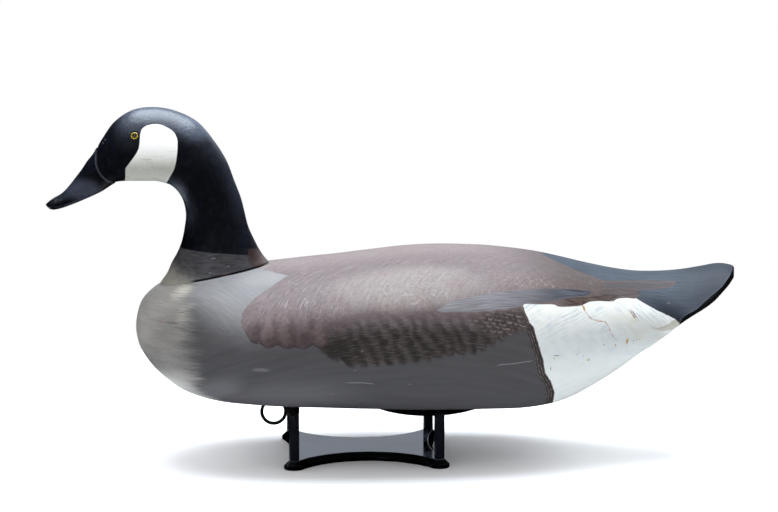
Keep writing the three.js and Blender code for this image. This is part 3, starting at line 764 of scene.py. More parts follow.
def paint_rump(s, flat):
    """The white rump with slanted strokes, painted bluish shade, and the dirty edge below the tail darkened
    as painted shade.
    """
    rising = s.noise(flat, (26, 0.9), 3, turn=-44)
    falling = s.noise(flat, (16, 1.2), 3, turn=38)
    strokes = s.blend(s.ramp(s.part(flat, "X"), 185, 205), rising, falling)
    facet = s.add(s["facet"], (s.swing(flat, 2), 0.7))
    # The facet below the tail: dirt on it, and painted shade where its edge turns from the light
    facet_dirt_and_shade = s.mix(s.noise(flat, 3, 3), (122, 119, 108), (172, 170, 158))
    return s.coats(
        s.mix(s.noise(flat, 24, 3), (206, 207, 203), (226, 226, 220)),
        ((168, 179, 188), s.ramp(strokes, 0.47, 0.58), s.ramp(s.noise(flat, 15), 0.3, 0.7), 0.9),
        # A band of painted shade across the rump
        ((136, 144, 150), s["rump_painted_shade"], s.add(0.8, (s.swing(flat, 9), 0.35))),
        ((188, 192, 190), s["rump_low"]),
        ((170, 169, 158), s["rump_dirt"], s.ramp(s.noise(flat, (14, 7), 4, turn=-40), 0.2, 0.7), 0.75),
        (facet_dirt_and_shade, s.ramp(facet, -0.5, 0.8), 0.85),
    )


def paint_fringe(s, flat, base, ragged):
    """The brown fringe of thin lines in front of the rump."""
    hairs = s.swing(flat, (1, 5), 3, turn=-35)
    away = s.add((s["rump"], -1), ragged, (hairs, 1.6))
    fringe = s.times(s.ramp(away, -0.7, 0), s.ramp(away, 10, 4), s.ramp(s.part(flat, "X"), 156, 146))
    lines = s.times(s.ramp(s.add(s.wave(away, 2.4), hairs), 0.3, 1.2), s.noise(flat, 6, 3))
    return s.mix(s.times(fringe, 0.9), base, s.mix(lines, (38, 32, 33), (142, 128, 120)))


def paint_mantle(s, flat):
    """The brown back: combed shoulder, pale middle that is partly a painted highlight, dark barred flank and
    blue-grey wing feathers.
    """
    comb = s.attribute("comb")
    cloud = s.swing(flat, 16, 3)
    low = s.mix(s.noise(flat, 5, 3), (58, 48, 49), (78, 67, 67))
    high = s.mix(s.noise(comb, (4, 30), 4), (98, 86, 88), (122, 111, 112))
    pale = s.mix(s.noise(comb, (2.6, 24), 4), (116, 107, 105), (150, 141, 138))
    rear = s.mix(s.noise(flat, (22, 2), 4), (66, 57, 56), (99, 86, 83))
    lines = s.noise(comb, (1, 15), 1)
    combed = s.times(s["combed"], s.ramp(s.noise(flat, 10), 0.3, 0.6))
    grain = s.noise(flat, (3.4, 2), 3, twist=0.8)
    bent = s.add(s.part(flat, "X"), (s.swing(flat, 14, 3), 9))
    # Where the lobes of the folded feathers lie, for their painted light and shade
    fold_light_and_shade = s.add(s.wave(bent, LOBE_SCALLOPS["spacing"]), (s.swing(flat, 4, 3), 0.8))
    curls = s.add(curl_lines(s, flat, 16), curl_lines(s, s.stretched(flat, (1, 1, 1), 60), 11))
    mantle = s.coats(
        low,
        (high, s.ramp(s.add(s["mantle_height"], (cloud, 0.12)), 0, 1)),
        # Pale paint in the middle of the back, partly a painted highlight
        (pale, s.ramp(s.add(s["mantle_pale_and_highlight"], (cloud, 0.2)), 0, 1)),
        ((142, 129, 127), s["mantle_ridge"]),
        ((124, 103, 103), s.ramp(s.noise(flat, (26, 12), 2, turn=30), 0.45, 0.7), 0.3),
        (rear, rear_share(s, flat)),
        ((156, 146, 149), s.ramp(lines, 0.56, 0.7), combed, 0.8),
        ((70, 57, 60), s.ramp(lines, 0.44, 0.3), combed, 0.5),
        ((146, 136, 136), s.ramp(grain, 0.5, 0.75), 0.2),
        ((66, 55, 57), s.ramp(grain, 0.5, 0.25), 0.3),
        ((152, 132, 124), s.ramp(s.noise(flat, (1.5, 4), 3), 0.5, 0.66), s["flecks"], 0.55),
        # Painted light on each lobe and painted shade between the lobes
        ((112, 97, 99), s.ramp(fold_light_and_shade, 0, 1), s["lobe_low"], 0.3),
        ((62, 50, 52), s.ramp(fold_light_and_shade, 0, -1), s["lobe_low"], 0.4),
        ((58, 47, 49), s["lobe_dark"], 0.65),
        ((42, 35, 35), s["lobe_rim"], 0.6),
        ((162, 156, 158), curls, s["curls"], 0.6),
    )
    return paint_wing(s, flat, paint_flank(s, flat, mantle))


def curl_lines(s, flat, size):
    """Thin curling lines of paint."""
    return s.line(s.add(s.noise(flat, size, 1, twist=1.4), -0.5), 0.003, 0.01)


def paint_wing(s, flat, mantle):
    """The folded wing's long feathers: blue-grey ones, a brown one, a dark blue tip and two pale ends."""
    along = s.part(flat, "X")
    steep = s.noise(flat, (30, 0.9), 3, turn=-11)
    level = s.noise(flat, (30, 0.8), 3, turn=-5)
    wing = s.mix(s.ramp(steep, 0.35, 0.65), (97, 96, 102), (130, 128, 133))
    wing = s.mix(s.times(s.ramp(along, 80, 142), 0.9), wing, (67, 68, 76))
    edge = s.add(s["primaries"], (s.swing(flat, (9, 1.2)), 1.3))
    mantle = s.mix(s.times(s.ramp(edge, -0.8, 0.8), 0.9), mantle, wing)
    for name, (start, end, dark, light, rim) in FEATHERS.items():
        strokes = s.ramp(steep if name == "blue_feather" else level, 0.4, 0.6)
        thin_edge = s.line(s.add(s[name], -0.4), 0.2, 0.7)
        vane = s.coats(dark, (light, strokes), (rim, thin_edge, 0.7))
        mantle = s.coats(mantle, (vane, s.ramp(s[name], -0.4, 0.4), s.ramp(along, start, end), 0.92))
    return mantle


def paint_flank(s, flat, under):
    """The dark flank: soft slanted bars, and wavy rows of small feathers near the rump."""
    along = s.part(flat, "X")
    girth = s.math("ABSOLUTE", s.part(flat, "Y"))
    loose = s.swing(flat, 7, 3)
    slanted = s.add(s["slanted"], (loose, 3), (s.swing(flat, 24), 9))
    bars = s.ramp(s.add(s.wave(slanted, 11.5), (loose, 2.2)), -1.6, 1.9)
    depth = s.ramp(girth, 117, 140)
    lit = s.mix(depth, (116, 105, 106), (68, 61, 60))
    shaded = s.mix(depth, (82, 71, 74), (38, 33, 31))
    lit = s.mix(s.ramp(along, -22, -62), lit, shaded)
    level = s.noise(flat, (9, 0.9), 3)

    around = s.add(girth, (s.swing(flat, (16, 7)), 2.4), (s.swing(flat, 3), 0.6))
    shift = s.times(s.math("FLOOR", s.times(around, 1 / 3.6)), 4.6)
    round_end = s.math("ABSOLUTE", s.wave(s.add(along, shift, (s.swing(flat, 9), 5)), 15))
    rows = s.add(s.wave(s.add(around, (round_end, -1.8)), 3.6), (s.swing(flat, 1.6, 3), 1.4))
    shown = s.times(s.ramp(round_end, 0.2, 0.8), s.ramp(s.noise(flat, 8), 0.3, 0.62), 0.8)
    small = s.mix(s.noise(flat, 4, 3), (42, 35, 35), (72, 62, 60))
    small = s.coats(small, ((118, 106, 102), s.ramp(rows, -0.6, 1), shown))
    flank = s.coats(
        shaded,
        (lit, bars, s.add(0.4, (s.noise(flat, 20), 0.7))),
        ((108, 97, 97), s.ramp(level, 0.5, 0.68), 0.25),
        ((40, 33, 34), s.ramp(level, 0.5, 0.32), 0.45),
        (small, s["wavy"]),
    )
    return s.mix(s.ramp(s.add(s["flank"], (loose, 6)), -6, 9), under, flank)


def paint_marks(s, base, flat, ragged):
    """Cracks, scratches, chips and stains, and a painted highlight on the body's edge below the neck seam."""
    crack = s.line(s.add(s["crack"], (ragged, 0.8)), 0.25, 0.5)
    chip = s.line(s.add(s["chip"], (ragged, 0.3)), 0.25, 0.4)
    base = s.coats(
        base,
        ((146, 110, 78), crack, s["crack_near"], s.ramp(s.noise(flat, 2.4), 0.36, 0.52), 0.85),
        ((112, 70, 52), chip, s["chip_near"], 0.85),
        ((140, 140, 142), s.line(s["scratch"], 0.1, 0.35), s["scratch_near"], 0.55),
    )
    side_view = s.attribute("side_view")
    for tone, strength, spots in SPOTS.values():
        for along, up, length, height in spots:
            spot = s.near(side_view, (along, up), (length, height), ragged)
            base = s.coats(base, (tone, spot, strength))
    return s.coats(base, ((196, 198, 204), s["seam_edge_highlight"]), ((22, 15, 11), s["seam_floor"]))


def head_material():
    """The paint of the head and neck: satin black, the white cheek and the grey-brown base of the neck."""
    s = Surface("head_paint", {"Specular IOR Level": 0.6, "Coat Weight": 0.25, "Coat Roughness": 0.3})
    upright = s.swing(s.place, (1.3, 1.3, 16), 4)
    fine = s.swing(s.place, 1.4)
    level = s.ramp(s.noise(s.place, (9, 9, 0.9), 3), 0.5, 0.7)
    # Mottling of the bill's painted highlights
    highlight_mottle = s.add(0.8, (fine, 0.2))
    black = s.coats(
        s.mix(s.noise(s.place, 16, 3), (1, 3, 13), (4, 8, 26)),
        ((12, 18, 40), s.ramp(s.noise(s.place, 5, 4), 0.5, 0.7), 0.5),
        # A painted highlight on the nape
        ((58, 64, 80), s["nape_highlight"], s.add(0.5, (level, 0.3), (upright, 0.4), (fine, 0.3))),
        # A painted highlight on the upward-facing crown, with a little dust in it
        ((88, 98, 122), s["crown"], s.add(0.45, (upright, 0.4), (fine, 0.35))),
        # Painted highlights on the upper and lower bill
        ((52, 58, 74), s["bill_upper_highlight"], highlight_mottle),
        ((43, 49, 63), s["bill_lower_highlight"], highlight_mottle),
        # A painted highlight on the throat
        ((66, 72, 88), s["throat"], s.add(0.7, (upright, 0.4))),
        # A thin painted highlight along the bill's base
        ((66, 72, 84), s["bill_base_highlight"], 0.8),
    )
    # The white cheek is painted darker and beiger towards its bottom: partly painted shade under the top
    # light, partly its beige-grey lower half
    cheek_low = s.ramp(s.part(s.place, "Z"), 286, 258)
    white = s.coats(
        s.mix(cheek_low, (232, 232, 230), (178, 178, 170)),
        ((146, 145, 136), s["cheek_dirt"], s.add(0.8, (upright, 0.3), (s.swing(s.place, 7, 3), 0.35))),
        ((148, 146, 136), s.ramp(upright, 0, 0.8), cheek_low, 0.55),
        ((158, 152, 138), s.ramp(s.noise(s.place, (14, 14, 1.6), 3), 0.52, 0.68), s["cheek_stroke"], 0.7),
    )
    olive = s.add(s["olive"], (upright, 0.2), (s.swing(s.place, 9), 0.25))
    dry = s.ramp(s.noise(s.place, (11, 11, 0.7)), 0.58, 0.7)
    neck = s.coats(
        (48, 47, 51),
        ((64, 62, 66), s.ramp(s.noise(s.place, (12, 12, 1.5), 3), 0.35, 0.65)),
        ((130, 126, 116), s.ramp(olive, 0, 1)),
        ((92, 91, 94), dry, s.noise(s.place, 14), 0.5),
    )
    patch_pale = s.add(s.ramp(s.part(s.place, "X"), -128, -114), (s.swing(s.place, 5, 3), 0.2))
    patch = s.mix(patch_pale, (52, 36, 34), (84, 67, 64))
    patch_edge = s.add(s["nape_patch"], (fine, 1.3), (s.swing(s.place, 6), 1.5))
    base = s.coats(
        black,
        (white, s.ramp(s.add(s["cheek"], (fine, 0.15)), -0.2, 0.2)),
        (neck, s.ramp(s.add(s["neck_base"], (fine, 0.2)), -0.25, 0.25)),
        (patch, s.ramp(patch_edge, -1.2, 1.2), 0.95),
    )
    side_view = s.attribute("side_view")
    for along, height, size in HEAD_CHIPS:
        chip = s.near(side_view, (along, height), (size, 0.25 + 0.12 * size), fine)
        base = s.coats(base, ((124, 122, 120), chip, 0.6))
    base = s.mix(s["seam_gap"], base, s.mix(s["seam_wood"], (10, 7, 6), (84, 54, 34)))
    relief = s.add((upright, 0.8), (fine, 0.35), (s.swing(s.place, 8, 3), 1.6))
    return s.finish(base, s.add(0.4, (upright, 0.08), (s.swing(s.place, 7, 3), 0.08)), relief, 0.15)


def plain_material(name, settings, low, high, size, roughness, spread, depth):
    """A plain finish with a little change of tone, gloss and surface."""
    s = Surface(name, settings)
    tone = s.noise(s.place, size, 4)
    base = s.mix(tone, low, high)
    return s.finish(base, s.add(roughness, (tone, spread)), s.noise(s.place, size / 4, 3), depth)


def gloss_material():
    """Polished black sheet with faint level wipe marks on its top, painted lighter blue-grey as a painted
    reflection.
    """
    s = Surface("black_gloss", {})
    top = s.ramp(s.part(s.place, "Z"), SHEET_THICKNESS - 0.4, SHEET_THICKNESS - 0.1)
    # Wipe marks painted as streaks of painted reflection
    wipes_and_reflection = s.add((s.noise(s.place, (90, 34)), 0.6), (s.noise(s.place, (30, 9), 4), 0.4))
    wipes_and_reflection = s.times(s.ramp(wipes_and_reflection, 0.38, 0.62), top)
    base = s.mix(wipes_and_reflection, (2, 2, 3), (88, 96, 116))
    return s.finish(base, s.add(0.05, (wipes_and_reflection, 0.12)), s.noise(s.place, 8), 0.004)


def iris_material():
    s = Surface("eye_iris", {})
    amber = s.mix(s.noise(s.place, 0.8, 3), (198, 168, 12), (238, 214, 44))
    pupil_edge = s.ramp(s["radius"], PUPIL_RADIUS, PUPIL_RADIUS + 0.25)
    rim = s.ramp(s["radius"], IRIS_RIM_RADIUS, IRIS_RIM_RADIUS + 0.2)
    return s.finish(s.coats((4, 4, 5), (amber, pupil_edge), ((16, 13, 9), rim)), 0.3)


def glass_material():
    s = Surface("eye_glass", {"Transmission Weight": 1, "IOR": 1.45})
    return s.finish((255, 250, 240), 0.02)


# Pieces

def add_object(name, data):
    thing = bpy.data.objects.new(name, data)
    bpy.context.scene.collection.objects.link(thing)
    return thing


def new_piece(name, points, faces, material, slot, nodes, values=None):
    """A piece of the part from points in millimetres, in the place of CAD nodes."""
    mesh = bpy.data.meshes.new(name)
    mesh.from_pydata((np.asarray(points) * MM).tolist(), [], [list(map(int, face)) for face in faces])
    for key, value in (values or {}).items():
        kind, field = ("FLOAT", "value") if value.ndim == 1 else ("FLOAT_VECTOR", "vector")
        mesh.attributes.new(key, kind, "POINT").data.foreach_set(field, value.astype(np.float32).ravel())
    mesh.materials.append(material)
    mesh.shade_smooth()
    piece = add_object(name, mesh)
    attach(piece, "root")
    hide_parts(*nodes)
    return piece


def ring_faces(rows, columns):
    """Four-sided faces between rows of points that each close on themselves."""
    a = np.arange(rows - 1)[:, None] * columns + np.arange(columns)[None]
    b = np.arange(rows - 1)[:, None] * columns + (np.arange(columns)[None] + 1) % columns
    return np.stack([a, b, b + columns, a + columns], -1).reshape(-1, 4)


def edit_mesh(piece, work):
    mesh = bmesh.new()
    mesh.from_mesh(piece.data)
    work(mesh)
    mesh.to_mesh(piece.data)
    mesh.free()


def split_caps(piece):
    """Cuts the faces of many corners into triangles."""
    def split(mesh):
        bmesh.ops.triangulate(mesh, faces=[face for face in mesh.faces if len(face.verts) > 4])

    edit_mesh(piece, split)
    piece.data.shade_smooth()


def body_paint_values(points, girth):
    """The values that the body's paint reads at each point."""
    x, y, z = points.T
    flat = np.stack([x, girth], 1)
    left = y <= 0
    signed_girth = np.where(left, girth, -girth)
    edges = round_distances(flat, ROUND_SHAPES)
    edges |= {name: inside_distance(flat, outline) for name, outline in STRAIGHT_SHAPES.items()}
    mantle = edges.pop("mantle")
    lower = ramp(girth, 112, 124)
    slanted = x - FEATHER_SLANT * (girth - 150)
    lobes = scallops(x, **LOBE_SCALLOPS) * lower
    tips = scallops(slanted, **FEATHER_TIPS) * lower
    lean = 0.019 - 0.0117 * ramp(x, -136, -92)
    comb = x - lean * np.maximum(125 - girth, 0) ** 2
    at_crack = ramp(x, -184, -172) * ramp(x, -110, -116)
    middle = ramp(x, -75, -40) * ramp(x, 100, 70)
    low_breast = np.maximum(girth - 115, 0)
    spots = soft_spots(flat, BODY_SOFT_SPOTS)
    lobe_front = spots.pop("lobe_front")
    return edges | spots | marks(flat, left) | {
        "unrolled": np.stack([x, signed_girth, 0 * x], 1),
        "side_view": np.stack([x, z, np.where(left, 0, 9)], 1),
        "comb": np.stack([comb, signed_girth, 0 * x], 1),
        "mantle_edge": mantle + lobes + tips,
        "mantle_soft": ramp(x, -78, -60) * lower * ramp(x, 112, 104),
        "mantle_height": ramp(girth - 8, 132 - 6 * middle, 92),
        "mantle_ridge": 0.6 * ramp(girth, 58, 12) * ramp(x, 130, 50),
        "torn": ramp(x, -122, -112) * ramp(x, -92, -98) * ramp(girth, 58, 50),
        "lobe_rim": bell(np.maximum(mantle + lobes, 0), 1.6) * lower * ramp(x, -60, -72),
        "lobe_dark": np.maximum(ramp(girth, 112, 138) * ramp(x, -56, -84), lobe_front),
        "lobe_low": ramp(girth, 98, 124) * ramp(x, -62, -76),
        "combed": (1 - 0.5 * ramp(x, -75, -30)) * ramp(x, 140, 60) * ramp(girth, 122, 104),
        "slanted": slanted,
        # Painted shade on the tail near the rump line, where it turns down from the light
        "tail_painted_shade": 0.85 * ramp(-line_distance(flat, TAIL_LINE), 20, 2) * ramp(x, 212, 240),
        "rump_painted_shade": bell(line_distance(flat, RUMP_PAINTED_SHADE), 20),
        "rump_low": 0.8 * ramp(girth - 0.3 * (140 - x), 92, 150),
        "breast_edge": 0.09 * np.maximum(girth - 95, 0) + 0.7 * np.maximum(girth - 165, 0) - x - 183,
        # A painted highlight along the breast's lower front rim
        "breast_rim_highlight": 0.9 * ramp(girth, 105, 150) * ramp(x - 0.6 * low_breast, -188, -222),
        "breast_fade": 0.8 * ramp(x, -206, -172) * ramp(girth, 90, 108) * ramp(girth, 130, 116),
        "breast_top": 0.8 * ramp(girth, 80, 50),
        "shoulder_light": ramp(-line_distance(flat, PALE_EDGE), -22, 34),
        # A faint painted highlight on the body's edge just below the neck seam
        "seam_edge_highlight": 0.1 * at_crack * ramp(seat_height(x) - z, 1.3, 0.5),
        "seam_floor": 0 * x,
    }


def marks(flat, left):
    """Distances to each kind of thin mark on the left side, and where they are near enough to show."""
    values = {}
    for kind, lines in MARKS.items():
        distances = np.array([line_distance(flat, line) for line in lines])
        nearest = distances[np.abs(distances).argmin(0), np.arange(len(flat))]
        values[kind] = nearest
        values[f"{kind}_near"] = np.where(left, ramp(np.abs(nearest), MARK_REACH, MARK_REACH - 1), 0)
    return values


def build_body():
    stations = len(BODY_STATIONS) - 1
    half = half_outline(np.linspace(0, stations, stations * BODY_ROWS_PER_STATION + 1))
    steps = np.linalg.norm(np.diff(half[:, :, 1:], axis=1), axis=2)
    girth = np.concatenate([np.zeros((len(half), 1)), np.cumsum(steps, 1)], 1)
    mirrored = slice(-2, 0, -1)
    points = np.concatenate([half * [1, -1, 1], half[:, mirrored]], 1)
    girth = np.concatenate([girth, girth[:, mirrored]], 1)
    faces = ring_faces(*girth.shape)
    points = points.reshape(-1, 3)
    values = body_paint_values(points, girth.ravel())
    body = new_piece("carved_body", points, faces, body_material(), "body_paint", ["body"], values)
    edit_mesh(body, carve_and_cut)
    body.data.set_sharp_from_angle(angle=math.radians(SHARP_ANGLE))


def carve_and_cut(mesh):
    """Takes the skin in by the carving, and cuts the neck's seat flat as a face of its own."""
    bmesh.ops.remove_doubles(mesh, verts=mesh.verts, dist=1e-6)
    bmesh.ops.recalc_face_normals(mesh, faces=mesh.faces)
    depths = carving(np.array([vert.co for vert in mesh.verts]) / MM) * MM
    for vert, depth in zip(mesh.verts, depths.tolist()):
        vert.co -= vert.normal * depth
    normal = Vector((-SEAT_SLOPE, 0, 1)).normalized()
    middle = Vector((SEAT_MIDDLE_X, 0, seat_height(SEAT_MIDDLE_X))) * MM
    everything = mesh.verts[:] + mesh.edges[:] + mesh.faces[:]
    bmesh.ops.bisect_plane(mesh, geom=everything, plane_co=middle, plane_no=normal, clear_outer=True)
    rim = [edge for edge in mesh.edges if edge.is_boundary]
    seat = bmesh.ops.holes_fill(mesh, edges=rim, sides=0)["faces"]
    bmesh.ops.recalc_face_normals(mesh, faces=mesh.faces)
    split = bmesh.ops.split(mesh, geom=seat)["geom"]
    floor_layer = mesh.verts.layers.float["seam_floor"]
    for corner in split:
        if isinstance(corner, bmesh.types.BMVert):
            corner[floor_layer] = 1


def carving(points):
    """How far the knife and rasp took the skin in at each point, in shallow flats."""
    x, y, z = points.T
    flats = np.sin(x / 11 + 2 * np.sin(z / 23)) * np.sin(z / 9 + 2 * np.sin(x / 31 + y / 40))
    return CARVING_LEAST + CARVING_DEPTH * (0.5 + 0.5 * flats)


def seam_gap(x):
    """Where the seam under the neck stands open, along x."""
    return ramp(x, *SEAM_GAP_FRONT) * ramp(x, *SEAM_GAP_BACK)


def above_seat(points):
    return points[:, 2] - seat_height(points[:, 0]) - CONTACT_GAP


def carve_head(points):
    """How far the head's skin stands out at each point: the bill's base and long edge, and the eyes."""
    x, y, z = points.T
    flat = points[:, [0, 2]]
    bill = line_distance(flat, BILL_BASE)
    step = 0.5 * ramp(bill, 0.1, -0.5) * fading(-bill, 5)
    groove = -0.55 * bell(bill - 0.55, 0.45)
    base = (step + groove) * (z > 243) * (z < 285)
    mouth = line_distance(flat, MANDIBLE)
    on_bill = ramp(x, -249, -254) * ramp(np.abs(y), 1, 4) * ramp(x, -309, -300)
    above = 0.3 * fading(mouth, 2.5) * ramp(mouth, -0.1, 0.3)
    below = -0.75 * fading(-mouth, 1.6) * ramp(mouth, 0.1, -0.3)
    middle, _ = eye_axis()
    from_eye = np.linalg.norm(points * [1, 0, 1] - [0, 1, 0] * np.abs(points) - middle, axis=1)
    socket = -1.1 * ramp(from_eye, EYE_RADIUS + 0.3, EYE_RADIUS - 0.9)
    lid = 0.3 * bell(from_eye - EYE_RADIUS - 1.1, 0.8)
    height = above_seat(points)
    gap = -SEAM_GAP_DEPTH * seam_gap(x) * ramp(height, 1.7, 1)
    worn_edge = -0.35 * fading(height, 0.6)
    return base + (above + below) * on_bill + socket + lid + gap + worn_edge


def grid_normals(grid):
    """Outward unit normals of a grid of points whose rows close on themselves."""
    along = np.gradient(grid, axis=0)
    around = (np.roll(grid, -1, 1) - np.roll(grid, 1, 1)) / 2
    normals = np.cross(around, along)
    length = np.linalg.norm(normals, axis=2, keepdims=True)
    return (normals / np.maximum(length, 1e-9)).reshape(-1, 3)


def head_paint_values(points, normals):
    """The values that the head's paint reads at each point."""
    x, y, z = points.T
    flat = np.stack([x, z], 1)
    bill = line_distance(flat, BILL_BASE)
    mouth = line_distance(flat, MANDIBLE)
    behind = ramp(normals[:, 0], 0.45, 0.95)
    under = ramp(normals[:, 0], -0.35, -0.95)
    above = ramp(normals[:, 0] + normals[:, 2], 0.3, 1)
    return round_distances(flat, HEAD_SHAPES) | {
        "cheek_dirt": bell(z - 261, 8),
        "cheek_stroke": bell(z - 272 - 0.1 * (x + 215), 4) + bell(z - 253, 2.5),
        # A painted highlight on the upward-facing crown, with a little dust in it
        "crown": ramp(normals[:, 2], 0.2, 0.95) * ramp(z, 276, 300) * ramp(x, -250, -234),
        # A painted highlight on the nape, on skin facing back and up
        "nape_highlight": np.maximum(
            0.5 * behind * ramp(z, 200, 230) * ramp(z, 300, 288),
            1.9 * blob(flat, (-175, 297), (22, 16)) * above,
        ),
        "olive": ramp(x + 1.6 * (z - 160), -150, -206),
        # Painted highlights on the bill's sides
        "bill_upper_highlight": blob(flat, (-276, 243), (27, 13)) * ramp(x, -258, -266),
        "bill_lower_highlight": ramp(-mouth, 0.8, 1.6) * ramp(x, -255, -262) * ramp(x, -304, -290),
        # A painted highlight on the throat
        "throat": np.maximum(
            blob(flat, (-198, 239), (19, 18)), 0.3 * under * blob(flat, (-184, 226), (20, 26))
        ),
        "bill_base_highlight": bell(bill + 1.1, 0.5) * (z > 243) * (z < 286),
        "side_view": np.stack([x, z, np.where(y < 0, 0, 9)], 1),
        "seam_gap": seam_gap(x) * ramp(above_seat(points), 1.8, 1.3),
        "seam_wood": bell(x + 150, 4),
    }


def build_head():
    rows = (len(HEAD_STATIONS) - 1) * HEAD_ROWS_PER_STATION + 1
    place = np.linspace(0, len(HEAD_STATIONS) - 1, rows)[:, None]
    turn = (2 * math.pi * np.arange(HEAD_COLUMNS) / HEAD_COLUMNS)[None]
    grid = head_points(*np.broadcast_arrays(place, turn))
    normals = grid_normals(grid)
    points = grid.reshape(-1, 3)
    points = points + normals * (carve_head(points) - carving(points))[:, None]
    points[:, 0] += BILL_TIP_INSET * ramp(points[:, 0], -300, -311)
    values = head_paint_values(points, normals)
    values = {key: np.concatenate([value, value[:HEAD_COLUMNS]]) for key, value in values.items()}
    underside = list(range(len(points), len(points) + HEAD_COLUMNS))
    points = np.vstack([points, points[:HEAD_COLUMNS]])
    faces = ring_faces(rows, HEAD_COLUMNS).tolist() + [underside]
    head = new_piece("carved_head", points, faces, head_material(), "head_paint", ["head_and_neck"], values)
    split_caps(head)


def eye_axis():
    """The middle of the left eye on the head's skin and the way it looks."""
    turn = math.radians(EYE_TURN)
    small = 0.05

    def at(place, angle):
        return head_points(np.array([place]), np.array([angle]))[0]

    along = at(EYE_STATION + small, turn) - at(EYE_STATION - small, turn)
    around = at(EYE_STATION, turn + small) - at(EYE_STATION, turn - small)
    outward = np.cross(along, around)
    outward /= np.linalg.norm(outward)
    return at(EYE_STATION, turn), outward * (-1 if outward[1] > 0 else 1)


def lathe(profile, sides):
    """Points and faces of a profile of (radius, height) turned about the upright axis."""
    angle = 2 * math.pi * np.arange(sides) / sides
    ring = np.stack([np.cos(angle), np.sin(angle)], 1)
    rows = [np.column_stack([ring * radius, np.full(sides, height)]) for radius, height in profile]
    return np.concatenate(rows), ring_faces(len(profile), sides)


def build_eyes(iris, glass):
    middle, outward = eye_axis()
    radii = np.linspace(EYE_RADIUS, PIN_RADIUS, EYE_RINGS)
    disc = [(radius, 0.02) for radius in radii[::-1]]
    dome = [(EYE_RADIUS, -0.3)] + [(r, 0.05 + EYE_BULGE * (1 - (r / EYE_RADIUS) ** 2)) for r in radii]
    for name, side in (("left", -1), ("right", 1)):
        nodes = [f"eye_{name}"]
        flip = np.array([1, -side, 1])
        centre = middle * flip
        look = Vector((outward * flip).tolist())
        turn = np.array(Vector((0, 0, 1)).rotation_difference(look).to_matrix()).T
        points, faces = lathe(disc, EYE_SIDES)
        values = {"radius": np.hypot(points[:, 0], points[:, 1])}
        new_piece(f"eye_iris_{name}", points @ turn + centre, faces, iris, "eye_glass", nodes, values)
        points, faces = lathe(dome, EYE_SIDES)
        new_piece(f"eye_dome_{name}", points @ turn + centre, faces, glass, "eye_glass", nodes)


def tube(path, radius, sides, closed=False):
    """Points and faces of a round wire along a path of points."""
    way = np.roll(path, -1, 0) - np.roll(path, 1, 0) if closed else np.gradient(path, axis=0)
    way /= np.linalg.norm(way, axis=1, keepdims=True)
    binormal = np.cross(way[0], way[len(way) // 4])
    binormal /= np.linalg.norm(binormal)
    normal = np.cross(binormal, way)
    angle = 2 * math.pi * np.arange(sides) / sides
    ring = normal[:, None] * np.cos(angle)[None, :, None] + binormal * np.sin(angle)[None, :, None]
    faces = ring_faces(len(path), sides)
    if closed:
        last = (len(path) - 1) * sides
        joins = [(last + i, last + (i + 1) % sides, (i + 1) % sides, i) for i in range(sides)]
        faces = np.vstack([faces, joins])
    return (path[:, None] + radius * ring).reshape(-1, 3), faces


def build_wires(wire):
    bend = RING_WIRE / 2 + CONTACT_GAP + STAPLE_WIRE / 2
    top = UNDERSIDE - CONTACT_GAP
    wire_z = top - STAPLE_LEG
    legs = np.linspace(0, 1, STAPLE_LEG_STEPS)[:, None]
    angle = np.linspace(0, math.pi, STAPLE_BEND_STEPS)[1:-1]
    down = np.array([RING_X, -bend, top]) + legs * [0, 0, -STAPLE_LEG]
    curve = np.stack([0 * angle + RING_X, -bend * np.cos(angle), wire_z - bend * np.sin(angle)], 1)
    up = np.array([RING_X, bend, wire_z]) + legs * [0, 0, STAPLE_LEG]
    staple = tube(np.vstack([down, curve, up]), STAPLE_WIRE / 2, STAPLE_WIRE_SIDES)
    radius = (RING_DIAMETER - RING_WIRE) / 2
    angle = 2 * math.pi * np.arange(ROUND_SIDES) / ROUND_SIDES
    loop = np.stack([RING_X + radius * np.cos(angle), 0 * angle, wire_z - radius + radius * np.sin(angle)], 1)
    new_piece("staple_wire", *staple, wire, "wire", ["ring_staple"])
    ring = tube(loop, RING_WIRE / 2, RING_WIRE_SIDES, closed=True)
    new_piece("ring_wire", *ring, wire, "wire", ["line_ring"])


def build_weight(lead):
    angles = np.linspace(0, math.pi / 2, WEIGHT_RINGS)
    radii = WEIGHT_LENGTH / 2 * np.sin(angles) + PIN_RADIUS
    profile = [*zip(radii, -WEIGHT_THICKNESS * np.cos(angles)), (PIN_RADIUS, 0)]
    points, faces = lathe(profile, ROUND_SIDES)
    points = points * [1, WEIGHT_WIDTH / WEIGHT_LENGTH, 1] + [WEIGHT_X, 0, UNDERSIDE - CONTACT_GAP]
    new_piece("cast_weight", points, faces, lead, "lead", ["ballast_weight"])


